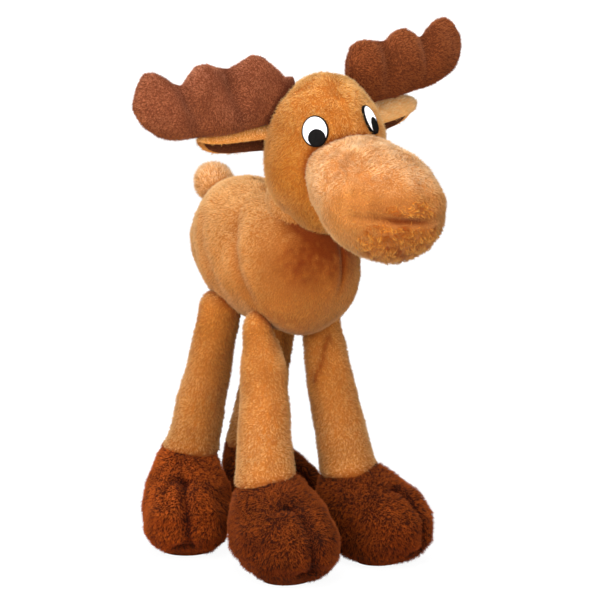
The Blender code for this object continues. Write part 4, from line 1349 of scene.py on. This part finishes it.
def sew_cleft(mesh, row):
    """Sews the cleft and the short lines beside it into a hoof, with painted shade along them."""
    for line, depth, shade in cleft_creases:
        places = np.array(line) * np.array([1, -1, 1])
        places[:, 0] += cleft_shifts[row[0]]
        crease_and_painted_shade(mesh, moved(places, foot_place(row)), depth, CLEFT_HALF, shade)


def make_hoof(number, row):
    """The boot from its sole up to the ankle, with the toe's cleft."""
    name = row[0]
    rise, slope = row[5:]
    bottom = SOLE_TOP - ANKLE_HEIGHT
    shares = np.linspace(0, 1, HOOF_STEPS) ** HOOF_STEP_POWER
    rings = np.array([hoof_ring(share, bottom * (1 - share), PLUSH_INSET) for share in shares])
    mesh = capped_mesh(f"{name}_hoof_skin", rings, hoof_place(row))
    points = mesh_points(mesh)
    lift = ramp_share(points[:, 2], ANKLE_HEIGHT / 2, ANKLE_HEIGHT / 2) ** 2
    points[:, 2] += lift * (rise + slope * across_picture(points, row))
    put_points(mesh, points)
    sew_cleft(mesh, row)
    cuff = near_cuff(mesh_points(mesh), row)
    press(mesh, CUFF_DEPTH * cuff)
    # Painted shade at the cuff
    add_painted_shade(mesh, HOOF_CUFF_SHADE * cuff)
    lump(mesh, "hoof", number)
    points = mesh_points(mesh)
    points[:, 2] = np.maximum(points[:, 2], SOLE_TOP)
    put_points(mesh, points)
    skin = make_skin(
        f"{name}_hoof_skin", mesh, f"{name}_hoof", f"{name}_leg", (f"{name}_hoof_casing",),
    )
    make_pile(
        f"{name}_hoof_pile", skin, f"{name}_hoof", f"{name}_leg", piles[f"{name}_hoof"],
        comb_one_way(hoof_comb, foot_place(row)), pile_seeds["hoof"] + number,
        lambda roots, ups: cuff_height(roots, row) > HOOF_PILE_TOP, SOLE_TOP,
    )


def make_sole(row):
    """The flat patch the boot stands on."""
    name = row[0]
    levels = (-ANKLE_HEIGHT, -ANKLE_HEIGHT + SOLE_TOP / 2, -ANKLE_HEIGHT + SOLE_TOP + SOLE_OVERLAP)
    rings = np.array([hoof_ring(0.0, level, PLUSH_INSET + SOLE_INSET) for level in levels])
    title = f"{name}_hoof_sole_patch"
    mesh = capped_mesh(title, rings, hoof_place(row))
    make_skin(title, mesh, "sole", f"{name}_leg", (f"{name}_hoof_sole",))


def make_legs():
    for number, row in enumerate(leg_rows):
        make_leg(number, row)
        make_hoof(number, row)
        make_sole(row)


# Neck, a soft stub between torso and head

NECK_INSET = 0.0032
NECK_FOOT = -0.024
NECK_TOP = 0.020
NECK_STEPS = 40
NECK_SIDES = 72
# Painted shade all over the neck, between torso and head
NECK_SHADE = 0.12


def make_neck():
    heights = np.linspace(NECK_FOOT, NECK_TOP, NECK_STEPS)
    radii = np.sqrt(NECK_RADIUS ** 2 - heights ** 2) - NECK_INSET
    centres = np.stack([np.zeros(NECK_STEPS), np.zeros(NECK_STEPS), heights], axis=1)
    rings = circle_rings(centres, radii, NECK_SIDES)
    mesh = grid_mesh("neck_skin", rings, (0, 0, heights[0]), (0, 0, heights[-1]))
    mesh.transform(NECK_FRAME)
    store(mesh, "crease_and_painted_shade", np.full(len(mesh.vertices), NECK_SHADE))
    skin = make_skin("neck_skin", mesh, "tan", "neck", ("neck_casing", "neck_stuffing"))

    def hidden(roots, ups):
        return inside(head_shape, roots, HIDDEN_DEPTH) | inside(torso_shape, roots, HIDDEN_DEPTH)

    make_pile("neck_pile", skin, "tan", "neck", piles["torso"], comb_down_back, pile_seeds["neck"], hidden)


# Eyes, raised satin stitch

STITCH_SIDES = 96
STITCH_RINGS = 26
STITCH_LIFT = 0.05
STITCH_SINK = 0.0006
THREAD_RISE = 0.00010
RING_THREAD_RISE = 0.00008
RING_THREADS = 46
BORDER_OVERLAP = 0.0002
EYE_RAY_START = 0.1
# Thread, lift over the head, height, and for a pad its threads' width and slant
stitch_rows = {
    "white": ("white", 0.0006, 0.0008, 0.00075, 0.0),
    "pupil": ("black", 0.0012, 0.0008, 0.0007, 0.3),
    "border": ("black", 0.0003, 0.0006, None, None),
}


def eye_directions(tree, row):
    """Where an eye lies on the head, and the ways to its right, up and out of the head there."""
    side, turn, _, higher, roll = row[1:6]
    azimuth = math.radians(turn) * side
    upright = HEAD_FRAME.to_3x3()
    inward = (upright @ Vector((-math.sin(azimuth), math.cos(azimuth), 0))).normalized()
    level_place = Vector((0, -HEAD_CENTRE_FORWARD, HEAD_CENTRE_RISE + (EYE_RISE + higher)))
    centre = HEAD_FRAME @ (level_place + Vector(HEAD_LEAN))
    spot, normal = tree.ray_cast(centre - inward * EYE_RAY_START, inward)[:2]
    if normal.dot(inward) > 0:
        normal = -normal
    level = (upright @ Vector((0, 0, 1))).cross(normal).normalized()
    right = turn_about(normal, roll, 3) @ level
    return spot, right, normal.cross(right), normal


def stitched(title, tree, directions, part, half_width, half_height, aside, drop, hollow):
    """A domed pad, or a ring when it has a hollow, ridged by its threads."""
    spot, right, up, normal = directions
    base, height, pitch, slope = stitch_rows[part][1:]

    def on_head(x, y):
        return tree.ray_cast(spot + right * x + up * y + normal * STITCH_LIFT, -normal)[0]

    def sunk(layer):
        return [tuple(Vector(point) - normal * (base + height)) for point in layer]

    layers = []
    for ring in range(STITCH_RINGS):
        share = 1 - (ring / (STITCH_RINGS - 1)) * (1 - hollow)
        edge = (share - hollow) / (1 - hollow)
        points = []
        for angle in ring_angles(STITCH_SIDES):
            x = half_width * share * math.cos(angle) + aside
            y = half_height * share * math.sin(angle) - drop
            if hollow:
                dome = math.sqrt(max(0, 1 - (2 * edge - 1) ** 2))
                ridge = RING_THREAD_RISE * math.cos(angle * RING_THREADS)
            else:
                dome = math.sqrt(1 - edge ** 4)
                along = x * math.cos(slope) + y * math.sin(slope)
                ridge = THREAD_RISE * math.cos(2 * math.pi * along / pitch)
            points.append(tuple(on_head(x, y) + normal * (base + height * dome + ridge * dome)))
        layers.append(points)
    if hollow:
        return grid_mesh(title, [sunk(layers[0]), *layers, sunk(layers[-1])], wrap=True)
    beneath = on_head(aside, -drop)
    top = beneath + normal * (base + height)
    return grid_mesh(title, [sunk(layers[0]), *layers[:-1]], beneath - normal * STITCH_SINK, top)


def make_eyes():
    base = head_mesh(0)
    put_points(base, leant(mesh_points(base)))
    tree = tree_of(base)
    for row in eye_rows:
        name, narrow, aside = row[0], row[3], row[6]
        directions = eye_directions(tree, row)
        inner = EYE_HALF_WIDTH * narrow
        wide = inner + EYE_BORDER
        hollow = (inner - BORDER_OVERLAP) / wide
        parts = (
            ("white", inner, EYE_HALF_HEIGHT, 0, 0, 0),
            ("pupil", PUPIL_HALF_WIDTH * narrow, PUPIL_HALF_HEIGHT, aside, PUPIL_DROP, 0),
            ("border", wide, EYE_HALF_HEIGHT + EYE_BORDER, 0, 0, hollow),
        )
        for part, *sizes in parts:
            title = f"{name}_eye_{part}_stitch"
            mesh = stitched(title, tree, directions, part, *sizes)
            make_skin(title, mesh, stitch_rows[part][0], "head", (f"{name}_eye_{part}",))


# Antlers

# How far the soft root runs on into the head, as a share of the length
ANTLER_ROOT_DEEP_SHARE = 0.06
ANTLER_SIDES = 72
ANTLER_STEPS = 90
ANTLER_FIRST_STEP = 0.15
ANTLER_TIP_START_SHARE = 0.93
ANTLER_TIP_SHARE = 0.07
ANTLER_TIP_HALF_SHARE = 0.2
ANTLER_TIP_THICKNESS_SHARE = 0.25
ANTLER_FLATNESS = 0.8
ANTLER_LOW_CREASE_SHARE = 0.6
# The seam all round, the root and the folds: how they are pressed in and their painted shade
ANTLER_SEAM_HALF = 0.0012
ANTLER_SEAM_DEPTH = 0.0005
ANTLER_SEAM_SHADE = 0.35
ANTLER_ROOT_REACH = 0.005
ANTLER_ROOT_SHADE = 0.7
ANTLER_CREASE_SHADE = 0.8
ANTLER_COMB_OUT = 0.8
ANTLER_COMB_DOWN = -0.4


def head_side_place(tree, side, back, rise):
    """The point on the head's side at that place back and up."""
    return tree.ray_cast(Vector((side * FAR, back, rise)), Vector((-side, 0, 0)))[0]


def antler_place(tree, side, lift, sweep):
    """Where an antler is sewn on, with its own X axis from side to side along it."""
    root = head_side_place(tree, side, ANTLER_ROOT_BACK, ANTLER_ROOT_RISE)
    root.x -= side * ANTLER_ROOT_SEAT
    upright = HEAD_FRAME @ Matrix.Translation(root)
    place = upright @ turn_about("Z", side * sweep) @ turn_about("Y", -side * lift)
    return Matrix.Translation(HEAD_FRAME.to_3x3() @ Vector(HEAD_LEAN)) @ place


def antler_crease(share, heights):
    """How far the two faces draw together along the folds that run down from the notches."""
    total = np.zeros(len(heights))
    for spot in antler_crease_shares:
        away = (share - spot + ANTLER_CREASE_SLANT_SHARE * (1 - heights) / 2) * ANTLER_LENGTH
        low = ANTLER_LOW_CREASE_SHARE + (1 - ANTLER_LOW_CREASE_SHARE) * heights
        total += ANTLER_CREASE_SHARE * low * near_share(away, ANTLER_CREASE_WIDTH)
    return total


def antler_ring(share, side, tops):
    """The antler's cut at a share of its length, thinner at its tip and along its folds."""
    angles = ring_angles(ANTLER_SIDES)
    heights = np.sin(angles)
    top = uneven_share(antler_length_shares, tops, share)
    base = uneven_share(antler_length_shares, antler_base_shares, share)
    closing = closing_share(share, ANTLER_TIP_START_SHARE, ANTLER_TIP_SHARE)
    half = ANTLER_DEPTH * (top + base) / 2 - SHORT_INSET
    half *= ANTLER_TIP_HALF_SHARE + (1 - ANTLER_TIP_HALF_SHARE) * closing
    thickness = ANTLER_HALF_THICKNESS * float(smooth_share(antler_thickness_shares, share))
    thickness *= ANTLER_TIP_THICKNESS_SHARE + (1 - ANTLER_TIP_THICKNESS_SHARE) * closing
    hollow = 1 - antler_crease(share, heights)
    return np.stack([
        np.full(ANTLER_SIDES, side * ANTLER_LENGTH * share),
        (thickness * hollow - SHORT_INSET) * signed_power(np.cos(angles), ANTLER_FLATNESS),
        ANTLER_DEPTH * (top - base) / 2 + half * heights,
    ], axis=1)


def shade_antler(mesh, place, shares):
    """Presses the seam in all round, and paints shade on it, on the root and in the folds."""
    points = mesh_points(mesh)
    seam = near_share(moved(points, place.inverted())[:, 1], ANTLER_SEAM_HALF)
    press(mesh, ANTLER_SEAM_DEPTH * seam)
    heights = np.sin(ring_angles(ANTLER_SIDES))
    folded = np.array([antler_crease(share, heights) for share in shares]).ravel()
    folded = np.concatenate([folded, np.zeros(len(points) - len(folded))])
    root = seam_fade(head_shape, points, ANTLER_ROOT_REACH)
    sewn = ANTLER_SEAM_SHADE * seam + ANTLER_ROOT_SHADE * root ** 2
    store(mesh, "crease_and_painted_shade", sewn + ANTLER_CREASE_SHADE * folded)


def make_antlers():
    tree = straight_head_tree()
    steps = np.linspace(ANTLER_FIRST_STEP, np.pi, ANTLER_STEPS)
    shares = np.concatenate([[-ANTLER_ROOT_DEEP_SHARE, 0.0], (1 - np.cos(steps)) / 2])
    for number, (name, side, lift, sweep, tops) in enumerate(antler_rows):
        place = antler_place(tree, side, lift, sweep)
        rings = np.array([antler_ring(share, side, tops) for share in shares])
        if name == "left":
            slant = LEFT_ANTLER_SLANT * np.clip(1 - shares / LEFT_ANTLER_SLANT_END_SHARE, 0, 1)
            upper = slant[:, None] * (1 + np.sin(ring_angles(ANTLER_SIDES))) / 2
            rings[:, :, 0] = rings[:, :, 0] * LEFT_ANTLER_SHARE + upper
        title = f"{name}_antler"
        mesh = capped_mesh(f"{title}_skin", rings, place)
        shade_antler(mesh, place, shares)
        lump(mesh, "antler", number)
        nodes = tuple(f"{title}_{part}" for part in ("front", "back", "stuffing"))
        skin = make_skin(f"{title}_skin", mesh, title, title, nodes)
        comb = comb_one_way((side * ANTLER_COMB_OUT, 0.0, ANTLER_COMB_DOWN), place)
        make_pile(f"{title}_pile", skin, title, title, piles["antler"], comb, pile_seeds["antler"] + number)


# Ears: a leaf folded along its top, open below, with the back half hanging lower

EAR_SIDE_STEPS = 28
EAR_STEPS = 60
ear_forward_keys = (-0.0036, -0.0036, -0.0012, 0.0036, 0.0062)
ear_up_keys = (-0.0110, -0.0030, 0.0044, 0.0024, -0.0044)
EAR_LAYER = 0.0010
EAR_LAYER_EDGE = 0.0002
EAR_LAYER_GAP = 0.0001
EAR_DROOP = -0.001
EAR_TIP_START_SHARE = 0.82
EAR_TIP_SHARE = 0.18
EAR_TIP_WIDTH_SHARE = 0.08
ear_middle = np.array([0.0, -0.0015, -0.0050])
EAR_SEED_STEP = 10


def ear_rings(side, face, width_shares):
    """Rings of one layer: outer when face is 1, lining when it is -1."""
    places = np.linspace(0, 1, EAR_SIDE_STEPS)
    forwards = smooth_share(ear_forward_keys, places)
    ups = smooth_share(ear_up_keys, places)
    runs = unit(np.stack([np.gradient(forwards), np.gradient(ups)], axis=1))
    outs = np.stack([-runs[:, 1], runs[:, 0]], axis=1)
    rounding = np.sqrt(np.maximum(0.0, 1 - np.abs(2 * places - 1) ** 4))
    reach = EAR_LENGTH * (LINING_SHARE if face < 0 else 1)
    rings = []
    for share in np.linspace(0, 1, EAR_STEPS):
        width_share = uneven_share(ear_length_shares, width_shares, share)
        closing = closing_share(share, EAR_TIP_START_SHARE, EAR_TIP_SHARE)
        scale = width_share * (EAR_TIP_WIDTH_SHARE + (1 - EAR_TIP_WIDTH_SHARE) * closing)
        thick = (EAR_LAYER_EDGE + EAR_LAYER * rounding * closing)[:, None] * face
        middle = np.stack([forwards, ups], axis=1) * scale
        near = middle + outs * EAR_LAYER_GAP * face
        far = middle + outs * thick
        both = np.concatenate([near, far[::-1]])
        along = np.full(len(both), side * reach * share)
        rings.append(np.stack([along, -both[:, 0], both[:, 1] + EAR_DROOP * share ** 3], axis=1))
    return np.array(rings)


def ear_place(tree, side, lift, roll, size, higher):
    """Where an ear is sewn on, how it turns and its size."""
    root = head_side_place(tree, side, EAR_ROOT_BACK, EAR_ROOT_RISE + higher)
    root += Vector(HEAD_LEAN) - Vector((side * EAR_ROOT_SEAT, 0, 0))
    upright = HEAD_FRAME @ Matrix.Translation(root)
    place = upright @ turn_about("Z", side * EAR_SWEEP) @ turn_about("Y", -side * lift)
    return place @ turn_about("X", roll) @ Matrix.Scale(size, 4)


def make_ear_layer(name, side, place, width_shares, layer, seed):
    """One leaf of an ear, with a pile on the face that is turned away from the other leaf."""
    face, part, material, look = layer
    title = f"{name}_ear_{part}"
    mesh = capped_mesh(f"{title}_skin", ear_rings(side, face, width_shares), place)
    skin = make_skin(f"{title}_skin", mesh, material, f"{name}_ear", (title,))

    def inner(roots, ups):
        outward = moved(roots, place.inverted()) - ear_middle
        outward[:, 0] = 0
        return (turned(ups, place.inverted()) * outward).sum(1) * face < 0

    comb = comb_one_way((float(side), 0.0, 0.0), place)
    make_pile(f"{title}_pile", skin, material, f"{name}_ear", piles[look], comb, seed, inner)


def make_ears():
    tree = straight_head_tree()
    for number, (name, side, lift, roll, size, higher, width_shares, plush) in enumerate(ear_rows):
        place = ear_place(tree, side, lift, roll, size, higher)
        for layer in ((1, "outer", plush, "ear"), (-1, "lining", "lining", "lining")):
            seed = pile_seeds[layer[-1]] + EAR_SEED_STEP * number
            make_ear_layer(name, side, place, width_shares, layer, seed)


# Tail

# Painted shade where the tail meets the torso
TAIL_SEAM_REACH = 0.005
TAIL_SEAM_SHADE = 0.6
tail_comb = (0.0, 0.6, 0.3)


def make_tail():
    out = Matrix.Translation((0, TAIL_LENGTH / 2 - TAIL_SEAT, 0)) @ turn_about("Z", 180)
    place = Matrix.Translation(joint_place("tail_seam")) @ turn_about("X", TAIL_LIFT) @ out
    mesh = stuffed_mesh("tail_skin", tail_form, TAIL_INSET, TAIL_COUNTS, place)
    seam = seam_fade(torso_shape, mesh_points(mesh), TAIL_SEAM_REACH)
    store(mesh, "crease_and_painted_shade", TAIL_SEAM_SHADE * seam ** 2)
    skin = make_skin("tail_skin", mesh, "light", "tail", ("tail_casing", "tail_stuffing"))
    make_pile("tail_pile", skin, "light", "tail", piles["tail"], comb_one_way(tail_comb), pile_seeds["tail"])


# Stage, lights and camera

FLOOR_HALF = 6.0
FLOOR_GREY = 0.5
FLOOR_ROUGHNESS = 0.9
# The floor glows towards the camera, a little more far from the toy
FLOOR_GLOW_SHARE = 0.85
floor_glow = {"From Min": 0.20, "From Max": 0.42, "To Min": 1.11, "To Max": 1.19}
WORLD_LIGHT = 0.36
WORLD_SEEN_MORE = 0.80
CAMERA_AZIMUTH = -38
CAMERA_ELEVATION = 7
CAMERA_DISTANCE = 1.25
CAMERA_FOCAL = 119.04
CAMERA_SENSOR = 36
CAMERA_END = 50
CAMERA_SHIFT = (0.0267, -0.015)
TARGET_HEIGHT = 0.17
# Azimuth, elevation, distance, size and power
lamp_rows = {
    "key": (-62, 15, 0.85, 0.6, 7.1),
    "top": (-30, 64, 1.4, 0.8, 19),
    "front": (5, 14, 1.5, 0.8, 9),
    "back": (-125, 28, 1.3, 0.6, 6),
}


def floor_material():
    """Plain grey in the light that falls on it, and nearly white where the camera sees it."""
    grey = (FLOOR_GREY, FLOOR_GREY, FLOOR_GREY, 1)
    material, shader = start_material("pale floor", {"Base Color": grey, "Roughness": FLOOR_ROUGHNESS})
    tree = material.node_tree
    link = tree.links.new
    away = add_node(tree, "ShaderNodeVectorMath", operation="LENGTH")
    link(add_node(tree, "ShaderNodeTexCoord").outputs["Object"], away.inputs[0])
    spread = add_node(tree, "ShaderNodeMapRange", floor_glow)
    link(away.outputs["Value"], spread.inputs["Value"])
    glow = add_node(tree, "ShaderNodeEmission")
    link(spread.outputs["Result"], glow.inputs["Strength"])
    share = add_node(tree, "ShaderNodeMath", {1: FLOOR_GLOW_SHARE}, operation="MULTIPLY")
    link(add_node(tree, "ShaderNodeLightPath").outputs["Is Camera Ray"], share.inputs[0])
    mix = add_node(tree, "ShaderNodeMixShader")
    link(share.outputs[0], mix.inputs["Fac"])
    link(shader.outputs["BSDF"], mix.inputs[1])
    link(glow.outputs["Emission"], mix.inputs[2])
    link(mix.outputs["Shader"], tree.nodes["Material Output"].inputs["Surface"])
    return material


def make_floor():
    mesh = bpy.data.meshes.new("floor")
    corners = [(x * FLOOR_HALF, y * FLOOR_HALF, 0) for x, y in ((-1, -1), (1, -1), (1, 1), (-1, 1))]
    mesh.from_pydata(corners, [], [(0, 1, 2, 3)])
    mesh.materials.append(floor_material())
    floor = add_object("floor", mesh)


def make_world():
    """Soft light from all around, and white where the camera looks past the floor."""
    world = bpy.data.worlds.new("studio")
    bpy.context.scene.world = world
    world.use_nodes = True
    tree = world.node_tree
    background = tree.nodes["Background"]
    background.inputs["Color"].default_value = (1, 1, 1, 1)
    light = {1: WORLD_SEEN_MORE, 2: WORLD_LIGHT}
    strength = add_node(tree, "ShaderNodeMath", light, operation="MULTIPLY_ADD")
    tree.links.new(add_node(tree, "ShaderNodeLightPath").outputs["Is Camera Ray"], strength.inputs[0])
    tree.links.new(strength.outputs[0], background.inputs["Strength"])


def aim(item, azimuth, elevation, distance):
    """Stands a lamp or the camera around the toy's middle, looking at it."""
    middle = Vector((SHIFT.x, SHIFT.y, TARGET_HEIGHT))
    around, up = math.radians(azimuth), math.radians(elevation)
    away = Vector((math.sin(around) * math.cos(up), -math.cos(around) * math.cos(up), math.sin(up)))
    item.location = middle + away * distance
    item.rotation_euler = (-away).to_track_quat("-Z", "Y").to_euler()


def make_lamps():
    for name, (azimuth, elevation, distance, size, power) in lamp_rows.items():
        lamp = bpy.data.lights.new(name, "AREA")
        lamp.size = size
        lamp.energy = power
        aim(add_object(name, lamp), azimuth, elevation, distance)


def make_camera():
    camera = bpy.data.cameras.new("camera")
    camera.lens = CAMERA_FOCAL
    camera.sensor_width = CAMERA_SENSOR
    camera.shift_x, camera.shift_y = CAMERA_SHIFT
    camera.clip_end = CAMERA_END
    item = add_object("camera", camera)
    aim(item, CAMERA_AZIMUTH, CAMERA_ELEVATION, CAMERA_DISTANCE)
    bpy.context.scene.camera = item


make_torso()
make_head()
make_muzzle()
make_legs()
make_neck()
make_eyes()
make_antlers()
make_ears()
make_tail()
make_floor()
make_world()
make_lamps()
make_camera()
bpy.context.scene.view_settings.view_transform = "Standard"
